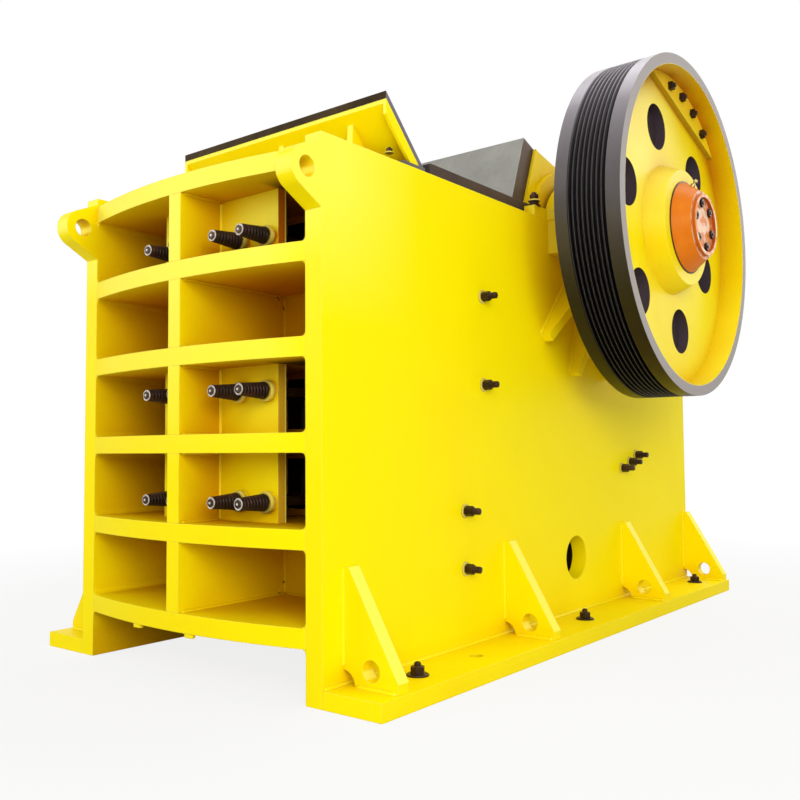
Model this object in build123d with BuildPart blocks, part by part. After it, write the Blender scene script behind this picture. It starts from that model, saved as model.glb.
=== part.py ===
# Single-toggle jaw crusher with a welded plate frame. All sizes are in millimetres.
# The origin is on the floor at the middle of the machine's outline. Z is up, Y runs
# from the ribbed front to the rear, and X runs along the shaft.
import os
from math import cos, radians, sin, tan

from build123d import *

os.makedirs("parts", exist_ok=True)

# Side plates and base
frame_width = 1400
frame_length = 3290
frame_height = 1955
rear_edge_drop = 455
rear_slope_length = 650
plate_thickness = 77
access_hole_radius = 105
access_hole_place = (1824, 323)
flange_width = 255
flange_thickness = 62
anchor_hole_radius = 27
front_anchor_distances = (354, 729, 1650)
rear_anchor_setback = 222
gusset_thickness = 56
gusset_height = 460
front_gusset_distances = (131, 1177, 2373)
rear_gusset_setback = 28
gusset_nose = 34
gusset_top = 26
gusset_setback = 16
gusset_snipe = 52
gusset_hole_radius = 37
gusset_hole_place = (124, 61)

# Lifting ears
ear_radius = 76
ear_hole_radius = 37
ear_reach = 69
ear_drop = 140
ear_foot_drop = 300
ear_root = 62

# Ribbed front
rib_count = 6
rib_thickness = 70
lowest_rib_height = 222
top_rib_drop = 73
rib_bow = 73
centre_rib_thickness = 69
front_wall_distance = 483
front_wall_thickness = 80
front_wall_foot = 170
window_margin = 26
window_inset = 12
window_side = 76
jaw_bolt_cells = (1, 2, 4)

# Clamp plates and spring bolts of the fixed jaw
clamp_thickness = 42
clamp_distance = 129
clamp_widths = (280, 323)
bolt_edge_distance = 42
bolt_pitch = 150
bolt_offsets = (-53, 30, -49)
bolt_side_count = 12
nut_side_count = 6
bolt_radius = 17
bolt_sleeve_radius = 32
bolt_sleeve_length = 126
bolt_nut_radius = 22
bolt_nut_length = 22
bolt_washer_radius = 40
bolt_washer_thickness = 9

# Crushing chamber
fixed_jaw_thickness = 177
fixed_jaw_foot = 300
fixed_jaw_rise = 55
tooth_pitch = 100
tooth_depth = 38
tooth_flat = 26
cheek_thickness = 40
cheek_foot = 260
cheek_split = 880
cheek_rise = 85
cheek_top_length = 822
cheek_foot_length = 300
seat_clearance = 0.3
moving_clearance = 9

# Swing jaw
jaw_angle = 20.5
jaw_foot = (843, 330)
jaw_rise = 104
jaw_liner_thickness = 100
jaw_guard_gap = 12
jaw_guard_length = 352
jaw_guard_margin = 14
jaw_plate_thickness = 85
barrel_radius = 385
barrel_gap = 23
barrel_clearance = 42.5
barrel_bore_radius = 208
web_thickness = 50
web_count = 5
web_margin = 29
toe_height = 226
toe_margin = 9

# Shaft, bearings and their housings
shaft_drop = 42
journal_radius = 125
eccentric_radius = 160
eccentric_throw = 18
eccentric_margin = 10
wheel_seat_radius = 115
running_clearance = 0.3
housing_projection = 170
housing_half_length = 408
housing_foot_drop = 121
housing_radius = 300
saddle_radius = 235
cap_radius = 318
cap_half_length = 535
cap_foot_width = 55
cap_outer_half_length = 412
cap_foot_thickness = 52
bearing_cover_radius = 190
bearing_cover_thickness = 36
bearing_rib_angles = (-42, -15.7, 15.7, 42)
bearing_rib_thickness = 46
bearing_rib_reach = 720
bearing_rib_root = 150
bearing_rib_tip = 48

# Wheels
wheel_radius = 810
wheel_width = 303
wheel_gap = 251
rim_thickness = 50
web_recess = 116
wheel_web_thickness = 60
hub_radius = 275
hub_root_radius = 312
hub_recess = 24
lightening_hole_radius = 109
lightening_hole_setback = 263
lightening_hole_count = 6
lightening_hole_turn = -15.8
groove_count = 8
groove_pitch = 22
groove_depth = 19
groove_flat = 5
weight_thickness = 27
weight_depth = 125
weight_turn = 74
hub_cover_base_radius = 218
hub_cover_end_radius = 146
hub_cover_length = 94
hub_cover_rim = 16

# Toggle, rear beam and tension rods
toggle_angle = 20
toggle_seat = (1290, 490)
toggle_length = 950
toggle_bead_radius = 45
toggle_web_thickness = 52
toggle_margin = 113
toggle_seat_depth = 110
toggle_seat_height = 150
beam_depth = 270
beam_height = 170
guide_height = 72
guide_depth = 60
shim_depth = 72
rear_wall_thickness = 80
rear_wall_below = 330
rear_wall_above = 210
rear_rib_thickness = 50
rear_rib_setback = 60
rear_tie_setback = 150
rear_tie_thickness = 50
rear_tie_foot = 20
rear_tie_height = 360
rod_radius = 22
rod_drop = 200
rod_margin = 180
rod_eye_radius = 48
rod_eye_width = 50
rod_play = 8
lug_thickness = 30
lug_root = 120
spring_radius = 58
spring_length = 260
spring_washer_thickness = 22
rod_nut_length = 40
rod_nut_radius = 40
rod_tail = 60

# Feed guard
guard_angle = 46
guard_foot_setback = 37
guard_foot_rise = 2
guard_length = 348
guard_margin = 8
guard_plate_thickness = 21
guard_backing_thickness = 12
guard_flange_thickness = 16
guard_flange_depth = 30
guard_leg_setback = 40
guard_leg_thickness = 30
guard_leg_margin = 215

# Places that follow from the sizes above
half_width = frame_width / 2
inner_half_width = half_width - plate_thickness
rear_edge_height = frame_height - rear_edge_drop
rear_slope_start = frame_length - rear_slope_length
anchor_distances = (*front_anchor_distances, frame_length - rear_anchor_setback)
gusset_distances = (*front_gusset_distances, frame_length - rear_gusset_setback)
ear_height = frame_height - ear_drop
rib_pitch = (frame_height - top_rib_drop - lowest_rib_height) / (rib_count - 1)
fixed_jaw_height = frame_height + fixed_jaw_rise
cheek_top = frame_height + cheek_rise
front_y = -(frame_length - (ear_reach + ear_radius)) / 2
shaft_z = frame_height - shaft_drop
shaft_depth = jaw_liner_thickness + barrel_clearance + barrel_radius
jaw_lean = radians(jaw_angle)
shaft_y = jaw_foot[0] + (shaft_depth + (shaft_z - jaw_foot[1]) * sin(jaw_lean)) / cos(jaw_lean)
shaft_place = (shaft_y, shaft_z)
wheel_inner = half_width + wheel_gap
wheel_outer = wheel_inner + wheel_width
hub_end = wheel_outer - hub_recess
web_face = wheel_outer - web_recess
hole_circle = wheel_radius - rim_thickness - lightening_hole_setback
wall_back = front_wall_distance + front_wall_thickness
chamber_front = wall_back + fixed_jaw_thickness
chamber_half_width = inner_half_width - cheek_thickness
jaw_half_width = chamber_half_width - moving_clearance
jaw_height = (frame_height + jaw_rise - jaw_foot[1]) / cos(jaw_lean)
barrel_length = 2 * (inner_half_width - barrel_gap)
eccentric_length = barrel_length - 2 * eccentric_margin
toggle_width = 2 * (inner_half_width - toggle_margin)
rod_places = (rod_margin - toggle_width / 2, toggle_width / 2 - rod_margin)
guard_foot = (chamber_front - guard_foot_setback, fixed_jaw_height + guard_foot_rise)
guard_width = 2 * (inner_half_width - guard_margin)
cell_height = rib_pitch - rib_thickness
side_view = Plane(origin=(0, front_y, 0), x_dir=(0, 1, 0), z_dir=(1, 0, 0))
shaft_line = Axis((0, front_y + shaft_y, shaft_z), (1, 0, 0))
shaft_section = Plane(origin=(0, front_y + shaft_y, shaft_z), x_dir=(1, 0, 0), z_dir=(0, -1, 0))


def level(height):
    """A plan view at one height, measured from the front edge."""
    return Plane(origin=(0, front_y, height), x_dir=(1, 0, 0), z_dir=(0, 0, 1))


def upright(distance):
    """A view from the front, at one distance behind the front edge."""
    return Plane(origin=(0, front_y + distance, 0), x_dir=(1, 0, 0), z_dir=(0, -1, 0))


def side_view_at(x):
    """The side view, moved along the shaft to x."""
    return side_view.offset(x)


def jaw_point(along, depth):
    """A point along the swing jaw's face and behind it, in the side view."""
    return (
        jaw_foot[0] + along * sin(jaw_lean) + depth * cos(jaw_lean),
        jaw_foot[1] + along * cos(jaw_lean) - depth * sin(jaw_lean),
    )


def toggle_point(along, above):
    """A point along the toggle from its front seat and square to it, in the side view."""
    rise = radians(toggle_angle)
    return (
        toggle_seat[0] + along * cos(rise) - above * sin(rise),
        toggle_seat[1] + along * sin(rise) + above * cos(rise),
    )


def toggle_plane(x, along, above):
    """A plane square to the toggle, at one place along it, that faces the rear."""
    rise = radians(toggle_angle)
    y, z = toggle_point(along, above)
    return Plane(origin=(x, front_y + y, z), x_dir=(1, 0, 0), z_dir=(0, cos(rise), sin(rise)))


def guard_point(along, depth):
    """A point along the feed guard from its foot and below its face, in the side view."""
    rise = radians(guard_angle)
    return (
        guard_foot[0] - along * cos(rise) - depth * sin(rise),
        guard_foot[1] + along * sin(rise) - depth * cos(rise),
    )


def guard_top(depth):
    """The guard's plumb front end, at one depth below its face."""
    return guard_point(guard_length - depth * tan(radians(guard_angle)), depth)


def toggle_box(start, end, low, high):
    """The four corners of a block laid square to the toggle."""
    corners = ((start, low), (end, low), (end, high), (start, high))
    return [toggle_point(along, above) for along, above in corners]


def rib_height(index):
    """The middle height of one front rib, counted from the lowest."""
    return lowest_rib_height + index * rib_pitch


def save(piece, name):
    """Label a finished piece and write it."""
    piece.part.label = name
    export_step(piece.part, f"parts/{name}.step")


def save_pair(piece, name):
    """Write a piece of the right side and its mirror image on the left."""
    save(piece, f"{name}_right")
    with BuildPart() as twin:
        mirror(piece.part, about=Plane.YZ)
    save(twin, f"{name}_left")


# Side plate: one burnt plate with its lifting ear, bearing saddle and access hole
with BuildPart() as side_plate:
    with BuildSketch(side_view_at(inner_half_width)):
        with BuildLine():
            Polyline(
                (0, 0),
                (frame_length, 0),
                (frame_length, rear_edge_height),
                (rear_slope_start, frame_height),
                (0, frame_height),
                close=True,
            )
        make_face()
    extrude(amount=plate_thickness)
    with BuildSketch(side_view_at(inner_half_width)):
        with BuildLine():
            CenterArc((-ear_reach, ear_height), ear_radius, 0, 360)
            Line((ear_root, frame_height - ear_foot_drop), (ear_root, frame_height))
        make_hull()
    extrude(amount=plate_thickness)
    with BuildSketch(side_view_at(inner_half_width)):
        with Locations((-ear_reach, ear_height)):
            Circle(ear_hole_radius)
        with Locations(access_hole_place):
            Circle(access_hole_radius)
        with Locations(shaft_place):
            Circle(saddle_radius)
        with Locations((shaft_y, shaft_z + saddle_radius)):
            Rectangle(2 * saddle_radius, 2 * saddle_radius)
    extrude(amount=plate_thickness, mode=Mode.SUBTRACT)
save_pair(side_plate, "side_plate")

# Base flange with its anchor holes
with BuildPart() as base_flange:
    with BuildSketch(level(0)):
        with Locations((half_width + flange_width / 2, frame_length / 2)):
            Rectangle(flange_width, frame_length)
        with Locations(*[(half_width + flange_width / 2, place) for place in anchor_distances]):
            Circle(anchor_hole_radius, mode=Mode.SUBTRACT)
    extrude(amount=flange_thickness)
save_pair(base_flange, "base_flange")

# Gussets between the flange and the side plate
with BuildPart() as base_gussets:
    gusset_toe = half_width + flange_width - gusset_setback
    for distance in gusset_distances:
        with BuildSketch(upright(distance - gusset_thickness / 2)):
            with BuildLine():
                Polyline(
                    (half_width, flange_thickness + gusset_snipe),
                    (half_width, gusset_height),
                    (half_width + gusset_top, gusset_height),
                    (gusset_toe, flange_thickness + gusset_nose),
                    (gusset_toe, flange_thickness),
                    (half_width + gusset_snipe, flange_thickness),
                )
                RadiusArc(
                    (half_width + gusset_snipe, flange_thickness),
                    (half_width, flange_thickness + gusset_snipe),
                    -gusset_snipe,
                )
            make_face()
            with Locations((half_width + gusset_hole_place[0], flange_thickness + gusset_hole_place[1])):
                Circle(gusset_hole_radius, mode=Mode.SUBTRACT)
        extrude(amount=-gusset_thickness)
save_pair(base_gussets, "base_gussets")

# Front wall with the windows that show the back of the fixed jaw
window_height = cell_height - 2 * window_margin
window_start = centre_rib_thickness / 2 + window_inset
window_width = inner_half_width - window_start - window_side
window_middle = window_start + window_width / 2
window_levels = [rib_height(cell) + rib_pitch / 2 for cell in jaw_bolt_cells]
with BuildPart() as front_wall:
    with BuildSketch(upright(front_wall_distance)):
        with Locations((0, (front_wall_foot + frame_height) / 2)):
            Rectangle(2 * inner_half_width, frame_height - front_wall_foot)
        with Locations(*[(side * window_middle, height) for side in (-1, 1) for height in window_levels]):
            Rectangle(window_width, window_height, mode=Mode.SUBTRACT)
    extrude(amount=-front_wall_thickness)
save(front_wall, "front_wall")

# Bowed front ribs
for index in range(rib_count):
    with BuildPart() as front_rib:
        with BuildSketch(level(rib_height(index) - rib_thickness / 2)):
            with BuildLine():
                ThreePointArc((-inner_half_width, 0), (0, -rib_bow), (inner_half_width, 0))
                Polyline(
                    (inner_half_width, 0),
                    (inner_half_width, front_wall_distance),
                    (-inner_half_width, front_wall_distance),
                    (-inner_half_width, 0),
                )
            make_face()
        extrude(amount=rib_thickness)
    save(front_rib, f"front_rib_{index + 1}")

# Centre rib: five uprights between the bowed ribs
with BuildPart() as centre_ribs:
    for index in range(rib_count - 1):
        with BuildSketch(level(rib_height(index) + rib_thickness / 2)):
            with Locations((0, (front_wall_distance - rib_bow) / 2)):
                Rectangle(centre_rib_thickness, front_wall_distance + rib_bow)
        extrude(amount=cell_height)
save(centre_ribs, "centre_ribs")

# Clamp plates beside the centre rib, in the cells that hold the spring bolts
left_clamp, right_clamp = clamp_widths
bolt_heights = [height + offset for height, offset in zip(window_levels, bolt_offsets)]
clamp_edges = (-centre_rib_thickness / 2, centre_rib_thickness / 2 + right_clamp)
bolt_columns = [edge - bolt_edge_distance - step for edge in clamp_edges for step in (0, bolt_pitch)]
bolt_places = [(column, height) for column in bolt_columns for height in bolt_heights]
bolt_neck = 2 * (bolt_radius + seat_clearance)
with BuildPart() as clamp_plates:
    for edge, width in zip(clamp_edges, (left_clamp, right_clamp)):
        middle = edge - width / 2
        with BuildSketch(upright(clamp_distance)):
            with Locations(*[(middle, height) for height in window_levels]):
                Rectangle(width, cell_height)
            with Locations(*bolt_places):
                Rectangle(bolt_neck, bolt_neck, mode=Mode.SUBTRACT)
        extrude(amount=-clamp_thickness)
save(clamp_plates, "clamp_plates")

# Spring bolts: a rod from the fixed jaw, a washer, a coil spring's outline and its nut
sleeve_start = clamp_distance - bolt_washer_thickness
bolt_steps = (
    (clamp_distance, bolt_washer_thickness, bolt_washer_radius, bolt_side_count),
    (sleeve_start, bolt_sleeve_length, bolt_sleeve_radius, bolt_side_count),
    (sleeve_start - bolt_sleeve_length, bolt_nut_length, bolt_nut_radius, nut_side_count),
)
with BuildPart() as jaw_bolts:
    with BuildSketch(upright(wall_back)):
        with Locations(*bolt_places):
            RegularPolygon(bolt_radius, bolt_side_count)
    extrude(amount=wall_back - clamp_distance)
    for start, length, radius, sides in bolt_steps:
        with BuildSketch(upright(start)):
            with Locations(*bolt_places):
                RegularPolygon(radius, sides)
        extrude(amount=length)
save(jaw_bolts, "jaw_bolts")


def toothed_outline(width, thickness):
    """The plan of a corrugated jaw: a flat back at y = 0 and teeth that end at y = thickness."""
    valley = thickness - tooth_depth
    slope = (tooth_pitch - 2 * tooth_flat) / 2
    count = int(width // tooth_pitch)
    start = -count * tooth_pitch / 2
    points = [(-width / 2, 0), (-width / 2, valley)]
    for tooth in range(count):
        left = start + tooth * tooth_pitch + tooth_flat / 2
        points += [
            (left, valley),
            (left + slope, thickness),
            (left + slope + tooth_flat, thickness),
            (left + 2 * slope + tooth_flat, valley),
        ]
    return points + [(width / 2, valley), (width / 2, 0)]


# Fixed jaw: corrugated liner that fills the frame's width in front of the cheeks
fixed_jaw_width = 2 * (inner_half_width - seat_clearance)
fixed_jaw_seat = (0, front_y + wall_back, fixed_jaw_foot)
with BuildPart() as fixed_jaw:
    with BuildSketch(Plane(origin=fixed_jaw_seat, x_dir=(1, 0, 0), z_dir=(0, 0, 1))):
        with BuildLine():
            Polyline(*toothed_outline(fixed_jaw_width, fixed_jaw_thickness), close=True)
        make_face()
    extrude(amount=fixed_jaw_height - fixed_jaw_foot)
save(fixed_jaw, "fixed_jaw")

# Cheek plates: wear plates on the side walls between the two jaws
cheek_front = chamber_front + seat_clearance
cheek_lean = (cheek_top_length - cheek_foot_length) / (cheek_top - cheek_foot)


def cheek(low, high):
    """One wear plate of the right wall between two heights."""
    low_end = cheek_front + cheek_foot_length + (low - cheek_foot) * cheek_lean
    high_end = cheek_front + cheek_foot_length + (high - cheek_foot) * cheek_lean
    with BuildPart() as plate:
        with BuildSketch(side_view_at(chamber_half_width)):
            with BuildLine():
                Polyline(
                    (cheek_front, low), (low_end, low), (high_end, high), (cheek_front, high), close=True
                )
            make_face()
        extrude(amount=cheek_thickness)
    return plate


save_pair(cheek(cheek_foot, cheek_split), "lower_cheek")
save_pair(cheek(cheek_split + seat_clearance, cheek_top), "upper_cheek")

# Feed guard: a sloping wear plate on a bordered backing plate with three legs
with BuildPart() as feed_guard:
    with BuildSketch(side_view_at(-guard_width / 2)):
        with BuildLine():
            Polyline(
                guard_point(0, 0),
                guard_top(0),
                guard_top(guard_plate_thickness),
                guard_point(0, guard_plate_thickness),
                close=True,
            )
        make_face()
    extrude(amount=guard_width)
    split(bisect_by=Plane.XY.offset(fixed_jaw_height), keep=Keep.TOP)
save(feed_guard, "feed_guard")

backing_back = guard_plate_thickness + guard_backing_thickness
flange_back = backing_back + guard_flange_depth
with BuildPart() as feed_guard_frame:
    with BuildSketch(side_view_at(-guard_width / 2)):
        with BuildLine():
            Polyline(
                guard_point(0, guard_plate_thickness),
                guard_top(guard_plate_thickness),
                guard_top(flange_back),
                guard_point(0, flange_back),
                close=True,
            )
        make_face()
    extrude(amount=guard_width)
    with BuildSketch(side_view_at(-guard_width / 2 + guard_flange_thickness)):
        with BuildLine():
            Polyline(
                guard_point(-guard_length, backing_back),
                guard_point(guard_length, backing_back),
                guard_point(guard_length, 2 * flange_back),
                guard_point(-guard_length, 2 * flange_back),
                close=True,
            )
        make_face()
    extrude(amount=guard_width - 2 * guard_flange_thickness, mode=Mode.SUBTRACT)
    for place in (guard_leg_margin - guard_width / 2, 0, guard_width / 2 - guard_leg_margin):
        with BuildSketch(side_view_at(place - guard_leg_thickness / 2)):
            with BuildLine():
                Polyline(
                    (front_wall_distance, frame_height),
                    (wall_back, frame_height),
                    guard_point(guard_leg_setback, backing_back),
                    guard_point(guard_length - 2 * guard_leg_setback, backing_back),
                    close=True,
                )
            make_face()
        extrude(amount=guard_leg_thickness)
    with BuildSketch(side_view_at(-guard_width / 2)):
        with BuildLine():
            Polyline(
                (wall_back, fixed_jaw_foot),
                (chamber_front, fixed_jaw_foot),
                (chamber_front, fixed_jaw_height),
                (wall_back, fixed_jaw_height),
                close=True,
            )
        make_face()
    extrude(amount=guard_width, mode=Mode.SUBTRACT)
save(feed_guard_frame, "feed_guard_frame")

# Bearing housings on the outside of the side plates, split level with the plates' top
bore_radius = journal_radius + running_clearance
housing_foot = shaft_z - housing_foot_drop
with BuildPart() as bearing_base:
    with BuildSketch(side_view_at(half_width)):
        with Locations((shaft_y, (housing_foot + frame_height) / 2)):
            Rectangle(2 * housing_half_length, frame_height - housing_foot)
        with Locations(shaft_place):
            Circle(housing_radius)
    extrude(amount=housing_projection)
    with BuildSketch(side_view_at(inner_half_width)):
        with Locations(shaft_place):
            Circle(saddle_radius - seat_clearance)
    extrude(amount=plate_thickness)
    split(bisect_by=Plane.XY.offset(frame_height), keep=Keep.BOTTOM)
    with BuildSketch(side_view_at(inner_half_width)):
        with Locations(shaft_place):
            Circle(bore_radius)
    extrude(amount=plate_thickness + housing_projection, mode=Mode.SUBTRACT)
save_pair(bearing_base, "bearing_base")

with BuildPart() as bearing_cap:
    with BuildSketch(side_view_at(half_width - cap_foot_width)):
        with Locations((shaft_y, frame_height + cap_foot_thickness / 2)):
            Rectangle(2 * cap_half_length, cap_foot_thickness)
    extrude(amount=cap_foot_width)
    with BuildSketch(side_view_at(inner_half_width)):
        with Locations((shaft_y, frame_height + cap_foot_thickness / 2)):
            Rectangle(2 * cap_outer_half_length, cap_foot_thickness)
        with Locations(shaft_place):
            Circle(cap_radius)
    extrude(amount=plate_thickness + housing_projection)
    split(bisect_by=Plane.XY.offset(frame_height), keep=Keep.TOP)
    with BuildSketch(side_view_at(inner_half_width)):
        with Locations(shaft_place):
            Circle(bore_radius)
    extrude(amount=plate_thickness + housing_projection, mode=Mode.SUBTRACT)
save_pair(bearing_cap, "bearing_cap")

with BuildPart() as bearing_cover:
    with BuildSketch(side_view_at(half_width + housing_projection)):
        with Locations(shaft_place):
            Circle(bearing_cover_radius)
            Circle(bore_radius, mode=Mode.SUBTRACT)
    extrude(amount=bearing_cover_thickness)
save_pair(bearing_cover, "bearing_cover")

# Ribs that spread from under the housing
with BuildPart() as bearing_ribs:
    for angle in bearing_rib_angles:
        swing = radians(angle)
        rib_plane = Plane(
            origin=(half_width, front_y + shaft_y, shaft_z),
            x_dir=(0, sin(swing), -cos(swing)),
            z_dir=(0, -cos(swing), -sin(swing)),
        )
        with BuildSketch(rib_plane):
            with BuildLine():
                Polyline(
                    (housing_radius, 0),
                    (bearing_rib_reach, 0),
                    (bearing_rib_reach, bearing_rib_tip),
                    (housing_radius, bearing_rib_root),
                    close=True,
                )
            make_face()
        extrude(amount=bearing_rib_thickness / 2, both=True)
save_pair(bearing_ribs, "bearing_ribs")

# Rear wall, square to the toggle, with ribs behind it
seat_back = toggle_length + toggle_seat_depth
beam_back = seat_back + beam_depth
wall_front = beam_back + shim_depth
wall_rear = wall_front + rear_wall_thickness
with BuildPart() as rear_wall:
    with BuildSketch(side_view_at(-inner_half_width)):
        with BuildLine():
            Polyline(*toggle_box(wall_front, wall_rear, -rear_wall_below, rear_wall_above), close=True)
        make_face()
    extrude(amount=2 * inner_half_width)
    for place in rod_places:
        with BuildSketch(toggle_plane(place, wall_front, -rod_drop)):
            Circle(rod_radius + rod_play)
        extrude(amount=rear_wall_thickness, mode=Mode.SUBTRACT)
save(rear_wall, "rear_wall")

rear_end = frame_length - rear_rib_setback
with BuildPart() as rear_ribs:
    for middle in (rear_rib_thickness / 2 - rear_wall_below, 0, rear_wall_above - rear_rib_thickness / 2):
        low = middle - rear_rib_thickness / 2
        high = middle + rear_rib_thickness / 2
        with BuildSketch(side_view_at(-inner_half_width)):
            with BuildLine():
                Polyline(*toggle_box(wall_rear, wall_rear + frame_length, low, high), close=True)
            make_face()
        extrude(amount=2 * inner_half_width)
    split(bisect_by=Plane.XZ.offset(-(front_y + rear_end)), keep=Keep.TOP)
save(rear_ribs, "rear_ribs")

# Tie plate low at the rear, between the side plates
with BuildPart() as rear_tie:
    with BuildSketch(upright(frame_length - rear_tie_setback)):
        with Locations((0, rear_tie_foot + rear_tie_height / 2)):
            Rectangle(2 * inner_half_width, rear_tie_height)
    extrude(amount=-rear_tie_thickness)
save(rear_tie, "rear_tie")

# Toggle beam, its guides and the shims behind it
with BuildPart() as toggle_beam:
    with BuildSketch(side_view_at(-inner_half_width + seat_clearance)):
        with BuildLine():
            Polyline(*toggle_box(seat_back, beam_back, -beam_height / 2, beam_height / 2), close=True)
        make_face()
    extrude(amount=2 * (inner_half_width - seat_clearance))
save(toggle_beam, "toggle_beam")

with BuildPart() as shim_pack:
    with BuildSketch(side_view_at(-toggle_width / 2)):
        with BuildLine():
            Polyline(*toggle_box(beam_back, wall_front, -beam_height / 2, beam_height / 2), close=True)
        make_face()
    extrude(amount=toggle_width)
save(shim_pack, "shim_pack")

with BuildPart() as beam_guides:
    inner_edge = beam_height / 2 + seat_clearance
    for low, high in ((inner_edge, inner_edge + guide_height), (-inner_edge - guide_height, -inner_edge)):
        with BuildSketch(side_view_at(inner_half_width - guide_depth)):
            with BuildLine():
                Polyline(*toggle_box(seat_back, wall_front - seat_clearance, low, high), close=True)
            make_face()
        extrude(amount=guide_depth)
save_pair(beam_guides, "beam_guides")

# Toggle plate with its rounded beads, and the two grooved seats
rear_bead = toggle_point(toggle_length, 0)
with BuildPart() as toggle_plate:
    with BuildSketch(side_view_at(-toggle_width / 2)):
        with BuildLine():
            half_web = toggle_web_thickness / 2
            Polyline(*toggle_box(0, toggle_length, -half_web, half_web), close=True)
        make_face()
        with Locations(toggle_seat, rear_bead):
            Circle(toggle_bead_radius)
    extrude(amount=toggle_width)
save(toggle_plate, "toggle_plate")


def grooved_seat(start, end, bead_place):
    """A hard seat block with the round groove that the toggle's bead rocks in."""
    with BuildPart() as seat:
        with BuildSketch(side_view_at(-toggle_width / 2)):
            with BuildLine():
                half_seat = toggle_seat_height / 2
                Polyline(*toggle_box(start, end, -half_seat, half_seat), close=True)
            make_face()
            with Locations(bead_place):
                Circle(toggle_bead_radius + seat_clearance, mode=Mode.SUBTRACT)
        extrude(amount=toggle_width)
    return seat


save(grooved_seat(-toggle_seat_depth, -moving_clearance, toggle_seat), "front_toggle_seat")
save(grooved_seat(toggle_length + moving_clearance, seat_back, rear_bead), "rear_toggle_seat")

# Swing jaw: front plate, webs, toe and barrel in one casting
face_back = jaw_liner_thickness
plate_back = face_back + jaw_plate_thickness
head_along = jaw_height + jaw_guard_gap + jaw_guard_length
toe_top = toggle_point(-toggle_seat_depth, toe_height / 2)
toe_bottom = toggle_point(-toggle_seat_depth, -toe_height / 2)
with BuildPart() as swing_jaw:
    with BuildSketch(side_view_at(-jaw_half_width)):
        with BuildLine():
            Polyline(
                jaw_point(0, face_back),
                jaw_point(head_along, face_back),
                jaw_point(head_along, plate_back),
                jaw_point(0, plate_back),
                close=True,
            )
        make_face()
    extrude(amount=2 * jaw_half_width)
    with BuildSketch(side_view_at(toe_margin - jaw_half_width)):
        with BuildLine():
            Polyline(
                jaw_point(0, face_back),
                toe_bottom,
                toe_top,
                jaw_point(toe_height, face_back),
                close=True,
            )
        make_face()
    extrude(amount=2 * (jaw_half_width - toe_margin))
    for web in range(web_count):
        place = (jaw_half_width - web_margin) * (2 * web / (web_count - 1) - 1)
        with BuildSketch(side_view_at(place - web_thickness / 2)):
            with BuildLine():
                CenterArc(shaft_place, barrel_radius, 0, 360)
                Line(toe_top, jaw_point(toe_height, face_back))
                Line(jaw_point(head_along, face_back), jaw_point(head_along, plate_back))
            make_hull()
        extrude(amount=web_thickness)
    with BuildSketch(side_view_at(-barrel_length / 2)):
        with Locations(shaft_place):
            Circle(barrel_radius)
    extrude(amount=barrel_length)
    with BuildSketch(side_view_at(-barrel_length / 2)):
        with Locations(shaft_place):
            Circle(barrel_bore_radius)
    extrude(amount=barrel_length, mode=Mode.SUBTRACT)
    lug_along = -toggle_seat_depth / 2
    lug_y, lug_z = toggle_point(lug_along, -rod_drop)
    lug_heel = toggle_point(-toggle_seat_depth - lug_root, 0)
    for place in rod_places:
        for side in (-1, 1):
            lug_middle = place + side * (rod_eye_width / 2 + rod_play + lug_thickness / 2)
            with BuildSketch(side_view_at(lug_middle - lug_thickness / 2)):
                with BuildLine():
                    CenterArc((lug_y, lug_z), rod_eye_radius, 0, 360)
                    Line(lug_heel, jaw_point(lug_root, face_back))
                make_hull()
            extrude(amount=lug_thickness)
        with BuildSketch(side_view_at(place - rod_eye_width / 2 - rod_play - lug_thickness)):
            with Locations((lug_y, lug_z)):
                Circle(rod_radius)
        extrude(amount=rod_eye_width + 2 * (rod_play + lug_thickness))
save(swing_jaw, "swing_jaw")

# Swing jaw liner and the guard plate above it
liner_y, liner_z = jaw_point(0, face_back)
liner_foot = (0, front_y + liner_y, liner_z)
liner_plane = Plane(origin=liner_foot, x_dir=(-1, 0, 0), z_dir=(0, sin(jaw_lean), cos(jaw_lean)))
with BuildPart() as swing_jaw_liner:
    with BuildSketch(liner_plane):
        with BuildLine():
            Polyline(*toothed_outline(2 * jaw_half_width, jaw_liner_thickness), close=True)
        make_face()
    extrude(amount=jaw_height)
save(swing_jaw_liner, "swing_jaw_liner")

with BuildPart() as jaw_guard:
    with BuildSketch(side_view_at(jaw_guard_margin - jaw_half_width)):
        guard_start = jaw_height + jaw_guard_gap
        with BuildLine():
            Polyline(
                jaw_point(guard_start, 0),
                jaw_point(head_along, 0),
                jaw_point(head_along, face_back),
                jaw_point(guard_start, face_back),
                close=True,
            )
        make_face()
    extrude(amount=2 * (jaw_half_width - jaw_guard_margin))
save(jaw_guard, "jaw_guard")

# Tension rods with their springs behind the rear wall
spring_head = wall_rear + spring_length
nut_start = spring_head + spring_washer_thickness
rod_end = nut_start + rod_nut_length + rod_tail
with BuildPart() as tension_rods:
    for place in rod_places:
        with BuildSketch(side_view_at(place - rod_eye_width / 2)):
            with Locations((lug_y, lug_z)):
                Circle(rod_eye_radius - rod_play)
        extrude(amount=rod_eye_width)
        with BuildSketch(toggle_plane(place, lug_along, -rod_drop)):
            Circle(rod_radius)
        extrude(amount=rod_end - lug_along)
        with BuildSketch(side_view_at(place - rod_eye_width / 2)):
            with Locations((lug_y, lug_z)):
                Circle(rod_radius + rod_play)
        extrude(amount=rod_eye_width, mode=Mode.SUBTRACT)
        with BuildSketch(toggle_plane(place, spring_head, -rod_drop)):
            Circle(spring_radius)
        extrude(amount=spring_washer_thickness)
        with BuildSketch(toggle_plane(place, nut_start, -rod_drop)):
            RegularPolygon(rod_nut_radius, nut_side_count)
        extrude(amount=rod_nut_length)
save(tension_rods, "tension_rods")

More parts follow.
